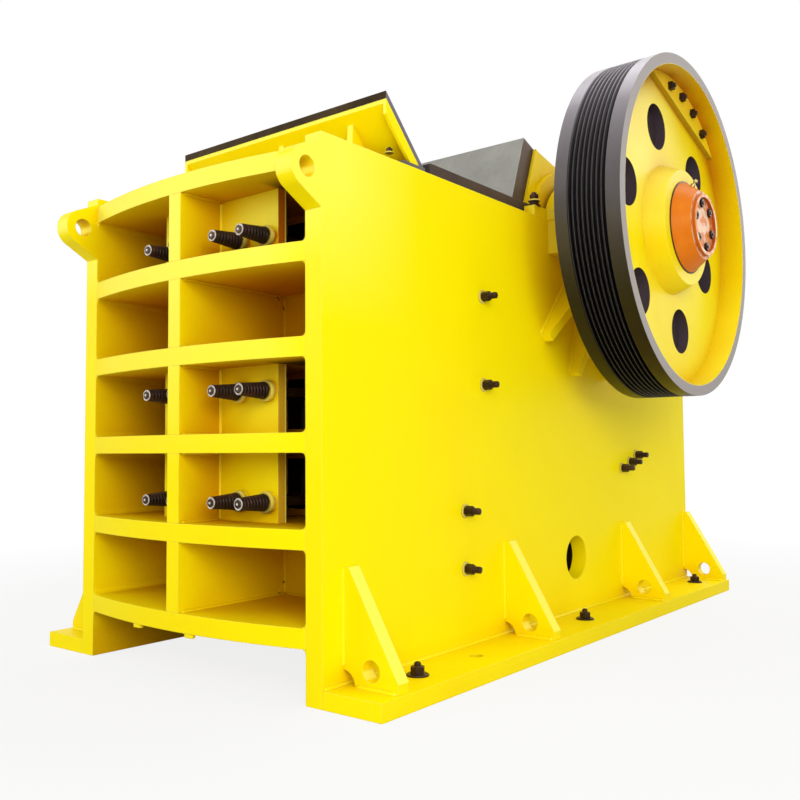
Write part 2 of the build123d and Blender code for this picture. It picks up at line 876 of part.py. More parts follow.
with BuildPart() as tension_springs:
    for place in rod_places:
        with BuildSketch(toggle_plane(place, wall_rear, -rod_drop)):
            Circle(spring_radius)
            Circle(rod_radius + seat_clearance, mode=Mode.SUBTRACT)
        extrude(amount=spring_length)
save(tension_springs, "tension_springs")

# Eccentric shaft
with BuildPart() as shaft:
    with BuildSketch(side_view_at(-hub_end)):
        with Locations(shaft_place):
            Circle(wheel_seat_radius)
    extrude(amount=2 * hub_end)
    journal_end = half_width + housing_projection + bearing_cover_thickness
    with BuildSketch(side_view_at(-journal_end)):
        with Locations(shaft_place):
            Circle(journal_radius)
    extrude(amount=2 * journal_end)
    with BuildSketch(side_view_at(-eccentric_length / 2)):
        with Locations((shaft_y, shaft_z + eccentric_throw)):
            Circle(eccentric_radius)
    extrude(amount=eccentric_length)
save(shaft, "shaft")


def wheel_section(grooved):
    """Half the section of a wheel: x along the shaft, y outwards from its axis."""
    bore = wheel_seat_radius + seat_clearance
    rim_inside = wheel_radius - rim_thickness
    web_back = web_face - wheel_web_thickness
    points = [
        (wheel_inner, rim_inside),
        (web_back, rim_inside),
        (web_back, hub_root_radius),
        (wheel_inner + hub_recess, hub_radius),
        (wheel_inner + hub_recess, bore),
        (hub_end, bore),
        (hub_end, hub_radius),
        (web_face, hub_root_radius),
        (web_face, rim_inside),
        (wheel_outer, rim_inside),
        (wheel_outer, wheel_radius),
    ]
    if grooved:
        half_mouth = (groove_pitch - groove_flat) / 2
        middle = wheel_outer - wheel_width / 2
        for groove in range(groove_count):
            centre = middle + ((groove_count - 1) / 2 - groove) * groove_pitch
            points += [
                (centre + half_mouth, wheel_radius),
                (centre + groove_flat / 2, wheel_radius - groove_depth),
                (centre - groove_flat / 2, wheel_radius - groove_depth),
                (centre - half_mouth, wheel_radius),
            ]
    return points + [(wheel_inner, wheel_radius)]


def wheel(grooved):
    """A spoked-web wheel on the right end of the shaft."""
    with BuildPart() as casting:
        with BuildSketch(shaft_section):
            with BuildLine():
                Polyline(*wheel_section(grooved), close=True)
            make_face()
        revolve(axis=shaft_line)
        with BuildSketch(side_view_at(wheel_inner)):
            with Locations(shaft_place):
                with PolarLocations(hole_circle, lightening_hole_count, lightening_hole_turn):
                    Circle(lightening_hole_radius)
        extrude(amount=wheel_width, mode=Mode.SUBTRACT)
    return casting


save(wheel(True), "sheave")
with BuildPart() as flywheel:
    mirror(wheel(False).part, about=Plane.YZ)
save(flywheel, "flywheel")

# Counterweight: a segment bolted to the web inside the rim
with BuildPart() as counterweight:
    with BuildSketch(side_view_at(web_face)):
        with Locations(Location(shaft_place, weight_turn)):
            Circle(wheel_radius - rim_thickness - seat_clearance)
            with Locations((-rim_thickness - weight_depth, 0)):
                Rectangle(2 * wheel_radius, 2 * wheel_radius, mode=Mode.SUBTRACT)
    extrude(amount=weight_thickness)
save_pair(counterweight, "counterweight")

# Hub cover: a cone with a raised ring round its end plate
with BuildPart() as hub_cover:
    with BuildSketch(shaft_section):
        cover_end = hub_end + hub_cover_length
        with BuildLine():
            Polyline(
                (hub_end, 0),
                (hub_end, hub_cover_base_radius),
                (cover_end - hub_cover_rim, hub_cover_end_radius + hub_cover_rim),
                (cover_end - hub_cover_rim, hub_cover_end_radius),
                (cover_end, hub_cover_end_radius),
                (cover_end, hub_cover_end_radius - hub_cover_rim),
                (cover_end - hub_cover_rim, hub_cover_end_radius - hub_cover_rim),
                (cover_end - hub_cover_rim, 0),
                close=True,
            )
        make_face()
    revolve(axis=shaft_line)
save_pair(hub_cover, "hub_cover")
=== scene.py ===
import math

import bpy
import numpy as np
from mathutils import Matrix, Vector


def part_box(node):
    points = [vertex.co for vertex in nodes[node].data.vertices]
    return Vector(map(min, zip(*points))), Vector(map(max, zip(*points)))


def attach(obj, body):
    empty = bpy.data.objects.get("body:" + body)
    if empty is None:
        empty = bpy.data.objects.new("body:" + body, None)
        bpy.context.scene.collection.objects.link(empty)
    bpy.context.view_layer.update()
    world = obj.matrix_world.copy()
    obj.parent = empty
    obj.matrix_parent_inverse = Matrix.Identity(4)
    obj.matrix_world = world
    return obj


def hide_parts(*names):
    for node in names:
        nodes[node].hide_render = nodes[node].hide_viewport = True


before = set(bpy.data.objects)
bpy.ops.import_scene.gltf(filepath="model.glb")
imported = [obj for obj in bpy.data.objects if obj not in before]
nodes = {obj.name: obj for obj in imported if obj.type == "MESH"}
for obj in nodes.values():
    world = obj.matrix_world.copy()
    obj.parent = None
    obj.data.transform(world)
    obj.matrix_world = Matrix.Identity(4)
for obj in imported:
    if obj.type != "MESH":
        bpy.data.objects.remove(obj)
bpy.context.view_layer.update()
flangeLow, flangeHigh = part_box("base_flange_right")
frontEdge = flangeLow.y  # the side plates' front edge
plateInside, plateFace = (corner.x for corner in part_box("side_plate_right"))
wheelLow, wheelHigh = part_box("sheave")
shaftY, shaftZ = (wheelLow.y + wheelHigh.y) / 2, (wheelLow.z + wheelHigh.z) / 2
print("frame loaded:", len(nodes), "nodes")


def addObject(name, data):
    made = bpy.data.objects.new(name, data)
    bpy.context.scene.collection.objects.link(made)
    return made


# Camera: it stands to the right of the ribbed front, a little under the machine's middle.
camera = {
    "place": (2.778, -3.7908, 0.8628),
    "turn": 38.165,  # degrees to the left of straight ahead
    "rise": 3.269,
    "roll": -0.4245,
    "lens": 40.45,
    "shift": (0.0003, -0.0035),
    "farthest": 500,
}


def placeCamera(settings):
    # ahead = turn about Z, then rise; right and up are turned by the roll about ahead
    turn, rise, roll = (math.radians(settings[key]) for key in ("turn", "rise", "roll"))
    across = Vector((math.cos(turn), math.sin(turn), 0))
    ahead = Vector(
        (-math.sin(turn) * math.cos(rise), math.cos(turn) * math.cos(rise), math.sin(rise))
    )
    above = across.cross(ahead)
    right = across * math.cos(roll) + above * math.sin(roll)
    up = above * math.cos(roll) - across * math.sin(roll)
    lens = bpy.data.cameras.new("camera")
    lens.lens = settings["lens"]
    lens.shift_x, lens.shift_y = settings["shift"]
    lens.clip_end = settings["farthest"]
    eye = addObject("camera", lens)
    eye.matrix_world = Matrix.Translation(settings["place"]) @ Matrix(
        (right, up, -ahead)
    ).transposed().to_4x4()
    bpy.context.scene.camera = eye


placeCamera(camera)
bpy.context.scene.view_settings.view_transform = "Standard"
print("camera placed")


def operator(operation, swapped=False):
    # A method that adds a Math node for the value and another, or for the two swapped
    def apply(value, other):
        pair = (other, value) if swapped else (value, other)
        return value.finish.node("Math", {"operation": operation}, dict(enumerate(pair)))

    return apply


class Value:
    # One output socket of a finish, so that maths on it adds Math nodes
    def __init__(self, finish, socket):
        self.finish = finish
        self.socket = socket

    __add__, __radd__ = operator("ADD"), operator("ADD", True)
    __sub__, __rsub__ = operator("SUBTRACT"), operator("SUBTRACT", True)
    __mul__, __rmul__ = operator("MULTIPLY"), operator("MULTIPLY", True)
    __pow__ = operator("POWER")
    most = operator("MAXIMUM")

    def maths(self, operation, *others):
        inputs = dict(enumerate((self, *others)))
        return self.finish.node("Math", {"operation": operation}, inputs)

    def between(self, low, high):
        # 0 at low, 1 at high, straight in between and level beyond; low may be the greater
        inputs = {"Value": self, "From Min": low, "From Max": high}
        return self.finish.node("MapRange", {}, inputs)

    def within(self, rise, fall):
        # 0 below rise, 1 between rise and fall, 0 above fall
        return self.between(*rise) * self.between(*fall[::-1])

    def unsigned(self):
        return self.maths("ABSOLUTE")

    def other(self, name):
        return Value(self.finish, self.socket.node.outputs[name])


class Finish:
    # A node tree: node() takes a node's type, its settings and the values or links of its sockets
    def __init__(self, tree):
        self.tree = tree
        tree.nodes.clear()

    def node(self, kind, settings=None, sockets=None, output=0):
        made = self.tree.nodes.new("ShaderNode" + kind)
        for name, value in (settings or {}).items():
            setattr(made, name, value)
        for name, value in (sockets or {}).items():
            if isinstance(value, Value):
                self.tree.links.new(value.socket, made.inputs[name])
            elif len(np.atleast_1d(value)) == 3 and made.inputs[name].type == "RGBA":
                made.inputs[name].default_value = (*value, 1)
            else:
                made.inputs[name].default_value = value
        return Value(self, made.outputs[output] if len(made.outputs) else None)

    def coordinates(self):
        return self.node("TexCoord", output="Object")

    def place(self):
        # The X of the object coordinates; other("Y") and other("Z") give the rest
        return self.node("SeparateXYZ", {}, {0: self.coordinates()})

    def noise(self, scale, detail, stretch=(1, 1, 1)):
        # Values of about 0.3 to 0.7 on object coordinates, scale features to the metre
        place = self.node("Mapping", {}, {"Vector": self.coordinates(), "Scale": stretch})
        return self.node("TexNoise", {}, {"Vector": place, "Scale": scale, "Detail": detail})

    def blend(self, amount, first, second):
        # first where amount is 0, second where it is 1
        return self.node("Mix", {"data_type": "RGBA"}, {0: amount, 6: first, 7: second}, 2)

    def coats(self, colour, *others):
        # Each coat over the first is an amount and a colour
        for amount, over in others:
            colour = self.blend(amount, colour, over)
        return colour

    def edges(self, radius, gain=5):
        # The rounded normal, and how far it leans from the true one: 1 along sharp edges
        rounded = self.node("Bevel", {"samples": 4}, {"Radius": radius})
        true = self.node("NewGeometry", output="Normal")
        inputs = {0: rounded, 1: true}
        match = self.node("VectorMath", {"operation": "DOT_PRODUCT"}, inputs, "Value")
        return rounded, ((1 - match) * gain).between(0, 1)

    def recess(self, reach):
        # 1 deep in corners and cells, 0 on open faces
        return 1 - self.node("AmbientOcclusion", {"samples": 6}, {"Distance": reach}, "AO")

    def facing(self, axis):
        # The part along one axis of the direction that the face looks in
        normal = self.node("NewGeometry", output="True Normal")
        return self.node("SeparateXYZ", {}, {0: normal}, axis)

    def sideFaces(self):
        # 1 on faces that look along X, 0 on the others
        return self.facing("X").unsigned().between(0.6, 0.8)

    def frontFaces(self):
        return (self.facing("Y") * -1).between(0.85, 0.98)

    def bumps(self, height, normal):
        # The normal tilted by bumps, whose height is in metres
        inputs = {"Height": height, "Distance": 1.0, "Strength": 1.0, "Normal": normal}
        return self.node("Bump", {}, inputs)

    def surface(self, **sockets):
        names = [name.replace("_", " ").title().replace("Ior", "IOR") for name in sockets]
        shader = self.node("BsdfPrincipled", {}, dict(zip(names, sockets.values())))
        self.node("OutputMaterial", {}, {"Surface": shader})


def newFinish(name):
    material = bpy.data.materials.new(name)
    material.use_nodes = True
    return material, Finish(material.node_tree)


# Studio: a pale floor that fades to the white surround, and four wide soft lamps
studio = {
    "floorSize": 60.0,
    "floorShade": 0.62,
    "whiteStart": 2.4,  # metres from the machine's middle
    "whiteEnd": 5.0,
    "floorGlow": 0.84,
    "worldLight": 0.55,
    "lamps": (
        # place, aimed at, width, height, watts
        ((6.4, -6.0, 3.2), (0.2, -0.4, 1.0), 4.5, 3.5, 400),
        ((-5.5, -6.5, 3.4), (-0.2, -1.0, 1.0), 4.0, 4.0, 165),
        ((0.8, 1.6, 7.5), (0.0, 0.0, 1.0), 5.0, 5.0, 200),
        ((2.5, 8.0, 4.5), (0.0, 1.0, 1.0), 4.0, 4.0, 130),
    ),
}


def makeStudio(settings):
    material, finish = newFinish("studioFloor")
    path = finish.node("LightPath", output="Is Camera Ray")
    place = {0: finish.coordinates()}
    away = finish.node("VectorMath", {"operation": "LENGTH"}, place, "Value")
    fade = away.between(settings["whiteStart"], settings["whiteEnd"])
    glow = settings["floorGlow"] + fade * (1 - settings["floorGlow"])
    matt = finish.node("BsdfDiffuse", {}, {"Color": (settings["floorShade"],) * 3})
    white = finish.node("Emission", {}, {"Color": (1, 1, 1)})
    mixed = finish.node("MixShader", {}, {0: path * glow, 1: matt, 2: white})
    finish.node("OutputMaterial", {}, {"Surface": mixed})

    half = settings["floorSize"] / 2
    corners = [(-half, -half, 0), (half, -half, 0), (half, half, 0), (-half, half, 0)]
    mesh = bpy.data.meshes.new("studioFloor")
    mesh.from_pydata(corners, [], [(0, 1, 2, 3)])
    mesh.materials.append(material)
    addObject("studioFloor", mesh)

    world = bpy.data.worlds.new("studioWorld")
    world.use_nodes = True
    bpy.context.scene.world = world
    air = Finish(world.node_tree)
    rays = air.node("LightPath", output="Is Camera Ray")
    seen = rays.most(rays.other("Is Glossy Ray")).most(rays.other("Is Transmission Ray"))
    light = air.node("Background", {}, {"Color": (1, 1, 1), "Strength": settings["worldLight"]})
    shown = air.node("Background", {}, {"Color": (1, 1, 1), "Strength": 1.0})
    both = air.node("MixShader", {}, {0: seen, 1: light, 2: shown})
    air.node("OutputWorld", {}, {"Surface": both})

    for index, (place, aim, width, height, power) in enumerate(settings["lamps"]):
        lamp = bpy.data.lights.new(f"softLamp{index + 1}", "AREA")
        lamp.shape = "RECTANGLE"
        lamp.size, lamp.size_y, lamp.energy = width, height, power
        holder = addObject(lamp.name, lamp)
        holder.location = place
        holder.rotation_euler = (Vector(aim) - Vector(place)).to_track_quat("-Z", "Y").to_euler()


makeStudio(studio)
print("studio ready")


# Machine enamel: yellow, with painted ochre shade in recesses and cells, painted highlights on open
# faces, painted shade in the pocket behind the front wall, and paler edges, partly wear and partly
# a painted highlight.
# Places are metres back from the side plates' front edge, heights metres from the floor.
enamel = {
    "yellow": (0.98, 0.80, 0.001),
    "warm": (0.95, 0.71, 0.001),
    # painted shade: the ochre that recesses and cells are painted towards
    "ochre": (0.55, 0.19, 0.001),
    # paler edges: partly wear, partly a painted highlight
    "edge": (0.99, 0.90, 0.13),
    "highlightLemon": (0.99, 0.95, 0.17),  # painted highlight on the front's upper edges, the flanks and the gussets' slopes
    "pocketShade": (0.014, 0.008, 0.003),  # painted shade behind the front wall and through its windows
    "edgeRadius": 0.005,
    "recessReach": 0.5,
    "recessStart": 0.24,
    "recessMost": 0.92,
    "outsideLessShade": 0.42,  # the share of its painted shade that an outer face is spared
    "aheadLessShade": 0.65,
    "lessShadeBelow": 0.66,  # less painted shade below this height
    "highlightHeights": (0.8, 1.7),
    "flankPlaces": (0.55, 0.10),
    "flankHeights": (1.3, 1.8),
    "pocketPlaces": ((0.486, 0.490), (0.796, 0.800)),
    "pocketHeights": ((0.25, 0.26), (1.985, 1.99)),
    "windowPlace": 0.34,  # from the middle, on the right
    "windowHeights": (((0.60, 0.61), (1.34, 1.35)), ((1.60, 1.61), (1.86, 1.87))),
    "wallPlace": 0.474,
}


def paintedShadeOn(settings, finish, shade, clouds, place):
    # Painted shade: the recess shade, less on outer, front and low faces, from recessStart up,
    # with clouded limits
    across, back, height = place
    outside = across.between(plateInside, plateFace)
    ahead = finish.frontFaces() * back.between(0.012, 0.004)
    shadeSpared = (outside * settings["outsideLessShade"]).most(ahead * settings["aheadLessShade"])
    low = height.between(settings["lessShadeBelow"], settings["lessShadeBelow"] - 0.3) * 0.22
    low = low * height.between(0.10, 0.22)
    shade = shade * (1 - shadeSpared)
    deepShade = ((shade - low - settings["recessStart"]) * 1.45 + (clouds - 0.5) * 0.12).between(0, 1)
    return shade, deepShade * settings["recessMost"]


def paintedLightOn(settings, finish, shade, place):
    # Painted light, the largest of three masks: open front faces high up, the outer plates'
    # upper front, and slopes beyond the plates' faces
    across, back, height = place
    outside = across.between(plateInside, plateFace)
    front = finish.frontFaces() * height.between(*settings["highlightHeights"])
    front = front * shade.between(0.45, 0.2)
    front = front * (1 - across.between(0.45, 0.62) * height.between(1.75, 1.5) * 0.8)
    flank = finish.sideFaces() * outside * back.between(*settings["flankPlaces"])
    flank = flank * height.between(*settings["flankHeights"])
    slope = finish.facing("Z").between(0.1, 0.2) * finish.facing("X").unsigned().between(0.5, 0.6)
    slope = slope * across.between(plateFace + 0.012, plateFace + 0.016)
    return front.most(flank * 0.8).most(slope * 0.9) * 0.55


def shadeBehind(settings, finish, place, right):
    # Painted shade in the pocket behind the front wall, and on what shows of the wall
    # beside its right windows
    across, back, height = place
    inside = across.between(plateInside + 0.002, plateInside)
    pocket = back.within(*settings["pocketPlaces"]) * inside
    pocket = pocket * height.within(*settings["pocketHeights"])
    lower, upper = (height.within(*limits) for limits in settings["windowHeights"])
    window, wall = settings["windowPlace"], settings["wallPlace"]
    beyond = right.between(window, window + 0.03) * (lower + upper) * back.between(0.49, 0.485)
    ceiling = (finish.facing("Z") * -1).between(0.5, 0.6) * back.between(0.02, 0.14)
    beyond = beyond * ceiling.most(back.between(wall, wall + 0.006))
    return pocket.most(beyond * inside * 0.9)


def paintedSteel(name, **changes):
    settings = {**enamel, **changes}
    material, finish = newFinish(name)
    rounded, edge = finish.edges(settings["edgeRadius"])
    clouds = finish.noise(2.2, 4)
    streaks = finish.noise(9, 4, (1, 1, 0.09))
    tone = (clouds - 0.5) * 1.6 + (streaks - 0.5) * 0.3
    colour = finish.blend(tone.between(0, 1), settings["yellow"], settings["warm"])
    right = finish.place()
    height, back = right.other("Z"), right.other("Y") - frontEdge
    place = (right.unsigned(), back, height)
    shade, paintedShade = paintedShadeOn(settings, finish, finish.recess(settings["recessReach"]), clouds, place)
    # painted shade: ochre in recesses and cells
    colour = finish.blend(paintedShade, colour, settings["ochre"])
    # Side faces in their own colours: painted shade, with a painted highlight along their rear rim
    if "sides" in settings:
        side = finish.blend(height.between(*settings["sidesChange"]), *settings["sides"])
        start = settings["rimPlace"]
        side = finish.blend(back.between(start, start + 0.001), side, settings["edge"])
        colour = finish.blend(finish.sideFaces(), colour, side)
    # painted shade on faces that don't look along X
    if "flanks" in settings:
        colour = finish.blend(1 - finish.sideFaces(), colour, settings["flanks"])
    scuffs = finish.noise(38, 5)
    # edges paler where unshaded: partly wear, partly a painted highlight
    wearAndHighlight = edge * (scuffs * 1.8 - 0.25).between(0, 1) * shade.between(0.5, 0.25)
    colour = finish.coats(
        colour,
        (paintedLightOn(settings, finish, shade, place), settings["highlightLemon"]),
        (shadeBehind(settings, finish, place, right), settings["pocketShade"]),
        (wearAndHighlight * 0.7, settings["edge"]),
    )
    peel = finish.noise(420, 2) * 0.00005 + finish.noise(5, 3) * 0.0018
    finish.surface(
        base_color=colour,
        roughness=0.34 + clouds * 0.10 + shade * 0.2,
        normal=finish.bumps(peel, rounded),
        specular_ior_level=0.08,
        specular_tint=(1.0, 0.85, 0.35),
    )
    return material


# Wheel enamel: the same paint on the web, with painted shade in its recesses and upper part and
# painted highlights on its lower half, upper front and edges, and a dark turned rim with darker
# grooves
wheelPaint = {
    "yellow": (0.97, 0.80, 0.002),
    "warm": (0.93, 0.66, 0.002),
    "ochre": (0.52, 0.20, 0.001),
    "highlightLemon": (0.99, 0.93, 0.12),  # painted highlight on the web's lower half
    "highlightCream": (0.99, 0.93, 0.40),  # and a painted highlight on its upper front
    "edgeHighlight": (0.98, 0.90, 0.22),
    "rim": (0.44, 0.40, 0.44),
    "rimLow": (0.016, 0.011, 0.008),  # painted shade on the half that stands lowest
    "rimEdge": (0.30, 0.28, 0.30),
    "groove": (0.002, 0.001, 0.002),
    "face": (0.40, 0.36, 0.34),
    "hole": ((0.030, 0.016, 0.020), (0.10, 0.075, 0.095)),
    "faceStart": 1.2535,
    "grooveStart": 1.010,  # plain lands lie on both sides of the grooves
    "landStart": 1.187,
    "rimInside": 0.762,
    "grooveFoot": 0.792,
    "grooveMouth": 0.8085,
    "holeCircle": 0.497,
    "holeRadius": 0.1095,
    "holeTurn": -15.8,
    "holeCount": 6,
}


def holesOf(settings, radius, y, z):
    # Along and across from the nearest hole's middle: the angle is folded into one hole's share
    share = math.pi / settings["holeCount"]
    swing = z.maths("ARCTAN2", y) - math.radians(settings["holeTurn"])
    swing = swing.maths("WRAP", share, -share)
    along = radius * swing.maths("COSINE") - settings["holeCircle"]
    across = radius * swing.maths("SINE")
    apart = (along * along + across * across) ** 0.5
    return 1 - apart.between(settings["holeRadius"], settings["holeRadius"] + 0.0005)


def wheelSteel(name, settings):
    material, finish = newFinish(name)
    rounded, edge = finish.edges(0.003)
    x = finish.place()
    y, z = x.other("Y") - shaftY, x.other("Z") - shaftZ
    radius = (y * y + z * z) ** 0.5
    shade = finish.recess(0.3)
    unshaded = shade.between(0.5, 0.2)
    clouds = finish.noise(3, 4)
    ring = {"W": radius + x * 1.7, "Scale": 380, "Detail": 3}
    marks = finish.node("TexNoise", {"noise_dimensions": "1D"}, ring)
    mottle = ((clouds - 0.42) * 2.4).between(0, 1)
    # painted shade: ochre in recesses, more on the upper part
    paintedShade = (shade - 0.10) * (0.7 + z.between(-0.4, 0.2) * 0.8 + z.between(0.2, 0.7) * 1.3)
    highlightCream = z.between(-0.1, 0.3) * y.between(0.2, -0.3) * unshaded * 0.32
    # The web: tone, painted shade, painted highlights on the lower web, upper front and unshaded
    # edges, dark holes
    paint = finish.coats(
        settings["yellow"],
        (mottle, settings["warm"]),
        (paintedShade.between(0, 0.8), settings["ochre"]),
        (z.between(-0.15, -0.6) * unshaded * 0.35, settings["highlightLemon"]),
        (highlightCream, settings["highlightCream"]),
        (edge * unshaded * 0.5, settings["edgeHighlight"]),
        (holesOf(settings, radius, y, z), finish.blend(clouds, *settings["hole"])),
    )
    face = x.unsigned().between(settings["faceStart"] - 0.001, settings["faceStart"])
    # painted shade: the rim darker on its lower half
    lowShade = 1 - (z + (clouds - 0.5) * 0.3).between(-0.5, 0.8) ** 1.8
    start, end = settings["grooveStart"], settings["landStart"]
    grooved = x.within((start, start + 0.001), (end - 0.001, end))
    depth = radius.between(settings["grooveMouth"], settings["grooveFoot"])
    # painted shade: the grooves darker deeper in, and all of them on the lower half
    sunk = grooved * depth.most(0.35 + lowShade * 0.58)
    coats = ((lowShade, settings["rimLow"]), (face, settings["face"]), (sunk, settings["groove"]))
    steel = finish.coats(settings["rim"], *coats)
    darker = finish.blend(0.3, steel, (0, 0, 0))
    steel = finish.blend((marks * 0.8).between(0.25, 0.6), steel, darker)
    steel = finish.blend(edge * 0.45, steel, settings["rimEdge"])
    rim = radius.between(settings["rimInside"] - 0.0015, settings["rimInside"])
    ridges = marks * 0.00008 * rim + finish.noise(380, 2) * 0.00006
    tread = rim * (1 - face)
    finish.surface(
        base_color=finish.blend(rim, paint, steel),
        metallic=tread * 0.3,
        roughness=0.34 + rim * 0.10 + clouds * 0.1,
        coat_weight=tread * (1 - sunk) * 0.4,
        coat_roughness=0.22,
        normal=finish.bumps(ridges, rounded),
        specular_ior_level=0.10,
    )
    return material


steelWear = {"paintedShade": (0.02, 0.014, 0.01), "brightness": 0.6, "edgeRadius": 0.003, "reach": 0.12}


def bareSteel(name, dark, light, metallic, roughness, grain, sides=None, gloss=0.5):
    # Cast or rolled steel: cloudy between dark and light, with painted shade in recesses, bright on
    # edges from wear and partly as a painted highlight, with its own colours on faces that look
    # sideways
    material, finish = newFinish(name)
    rounded, edge = finish.edges(steelWear["edgeRadius"])
    shade = finish.recess(steelWear["reach"])
    clouds = finish.noise(grain * 0.12, 5)
    grit = finish.noise(grain, 4)
    colour = finish.blend(((clouds + grit * 0.4 - 0.5) * 2.2).between(0, 1), dark, light)
    if sides:
        colour = finish.blend(finish.sideFaces(), colour, finish.blend(clouds, *sides))
    # painted shade in recesses
    colour = finish.blend((shade * 0.9).between(0.1, 0.9), colour, steelWear["paintedShade"])
    # bright edges where unshaded: wear, and partly a painted highlight
    wearAndHighlight = edge * (clouds * 2.2 - 0.5).between(0, 1) * shade.between(0.5, 0.25)
    bright = tuple(min(1.0, 2.6 * part + 0.04) for part in light)
    colour = finish.blend(wearAndHighlight * steelWear["brightness"], colour, bright)
    height = grit * 0.0007 + finish.noise(grain * 6, 2) * 0.00012
    finish.surface(
        base_color=colour,
        metallic=metallic,
        roughness=roughness - 0.08 + grit * 0.2 + shade * 0.15,
        normal=finish.bumps(height, rounded),
        specular_ior_level=gloss,
    )
    return material


# Hub enamel: orange with a paler bloom, painted shade in its recesses, a patchy painted highlight
# on its end face, and painted highlights along its edges and rim
hubPaint = {
    "orange": (0.70, 0.175, 0.006),
    "pale": (0.76, 0.24, 0.02),
    "deepShade": (0.38, 0.04, 0.005),
    "endHighlight": (0.86, 0.56, 0.36),
    "endHighlightFrom": 1.3065,
    "edge": (0.96, 0.66, 0.36),
}


def hubEnamel(name, settings):
    material, finish = newFinish(name)
    rounded, edge = finish.edges(0.003)
    shade = finish.recess(0.06)
    clouds = finish.noise(14, 4)
    bloom = ((clouds - 0.45) * 2).between(0, 1)
    start = settings["endHighlightFrom"]
    end = finish.place().unsigned().between(start, start + 0.001) * finish.sideFaces()
    # painted highlight in patches on the end face
    endHighlightPatches = end * ((finish.noise(22, 4) - 0.42) * 7).between(0.15, 0.85)
    # painted shade in recesses and painted highlights along edges
    colour = finish.coats(
        settings["orange"],
        (bloom, settings["pale"]),
        (endHighlightPatches, settings["endHighlight"]),
        ((shade * 1.5).between(0.2, 0.9), settings["deepShade"]),
        (edge * 0.8, settings["edge"]),
    )
    peel = finish.noise(420, 2) * 0.00006 + finish.noise(30, 3) * 0.0003
    finish.surface(
        base_color=colour,
        roughness=0.34 + clouds * 0.10,
        normal=finish.bumps(peel, rounded),
        specular_ior_level=0.15,
        specular_tint=(1.0, 0.8, 0.5),
    )
    return material


framePaint = paintedSteel("framePaint")
guardPaint = paintedSteel("guardPaint", recessReach=0.12, recessStart=0.3)
clampPaint = paintedSteel(
    "clampPaint",
    recessReach=0.16,
    recessStart=0.33,
    sides=((0.72, 0.42, 0.02), (0.58, 0.16, 0.006)),  # painted shade on the side faces, from low to high
    sidesChange=(1.3, 1.4),
    rimPlace=0.163,
)
beadPaint = paintedSteel(
    "beadPaint", warm=(0.96, 0.74, 0.02), ochre=(0.80, 0.52, 0.04), recessMost=0.5
)
# Counterweights: painted shade on their flanks and towards the top of their faces
weightPaint = paintedSteel(
    "weightPaint",
    recessReach=0.12,
    flanks=(0.48, 0.31, 0.010),
    sides=((0.93, 0.72, 0.006), (0.82, 0.53, 0.020)),
    sidesChange=(2.38, 2.62),
    rimPlace=9,  # past the machine, so without a painted highlight along a rim
)
rimAndWeb = wheelSteel("wheelPaint", wheelPaint)
hubFinish = hubEnamel("hubPaint", hubPaint)

# Bare steels and plain paints: dark and light colour, metallic, roughness and grain to the
# metre, and for some the colours of their side faces and their gloss
burntEdge = ((0.040, 0.022, 0.022), (0.105, 0.068, 0.050))
greyEdge = ((0.12, 0.11, 0.13), (0.22, 0.20, 0.24))
steels = {
    "boltSteel": ((0.015, 0.006, 0.002), (0.070, 0.032, 0.013), 0.4, 0.32, 160, None, 0.25),
    "springSteel": ((0.009, 0.003, 0.001), (0.052, 0.018, 0.010), 0.25, 0.34, 140, None, 0.3),
    "manganeseSteel": ((0.085, 0.078, 0.072), (0.20, 0.185, 0.17), 0.35, 0.58, 70),
    "cheekSteel": ((0.060, 0.050, 0.055), (0.14, 0.12, 0.125), 0.3, 0.5, 60, burntEdge),
    "guardSteel": ((0.25, 0.245, 0.215), (0.34, 0.335, 0.30), 0.2, 0.5, 40, burntEdge),
    "wearPlateSteel": ((0.024, 0.014, 0.007), (0.068, 0.044, 0.018), 0.1, 0.6, 50, greyEdge, 0.08),
    "shaftSteel": ((0.36, 0.36, 0.36), (0.58, 0.58, 0.57), 0.9, 0.3, 90),
    "ringSteel": ((0.42, 0.38, 0.33), (0.74, 0.69, 0.62), 0.3, 0.32, 150),
    "washerPaint": ((0.78, 0.60, 0.05), (0.92, 0.78, 0.14), 0.0, 0.42, 150, None, 0.3),
    "burntPaint": ((0.085, 0.022, 0.001), (0.19, 0.065, 0.002), 0.0, 0.6, 120, None, 0.1),
    # dark as painted shade: the rear tie and the discs in the wheel's holes
    "paintedShadeDark": ((0.018, 0.006, 0.008), (0.034, 0.014, 0.012), 0.0, 0.75, 30),
    "greaseBrass": ((0.50, 0.36, 0.12), (0.75, 0.60, 0.28), 0.8, 0.3, 200),
}
finished = [bareSteel(name, *values) for name, values in steels.items()]
boltSteel, springSteel, jawSteel, cheekSteel, guardSteel, wearPlateSteel = finished[:6]
shaftSteel, ringSteel, washerPaint, burntPaint, paintedShadeDark, brass = finished[6:]

nodeFinishes = {
    jawSteel: ("fixed_jaw", "swing_jaw_liner"),
    cheekSteel: ("lower_cheek_right", "lower_cheek_left", "upper_cheek_right", "upper_cheek_left"),
    guardSteel: ("jaw_guard",),
    wearPlateSteel: ("feed_guard",),
    guardPaint: ("feed_guard_frame",),
    clampPaint: ("clamp_plates",),
    rimAndWeb: ("sheave", "flywheel"),
    weightPaint: ("counterweight_right", "counterweight_left"),
    hubFinish: ("hub_cover_right", "hub_cover_left"),
    boltSteel: ("tension_rods",),
    shaftSteel: ("shaft", "front_toggle_seat", "rear_toggle_seat", "shim_pack"),
    paintedShadeDark: ("rear_tie",),
}


def finishNodes(choices):
    chosen = {name: material for material, names in choices.items() for name in names}
    for name, node in nodes.items():
        node.data.materials.clear()
        node.data.materials.append(chosen.get(name, framePaint))


finishNodes(nodeFinishes)
print("finishes made")

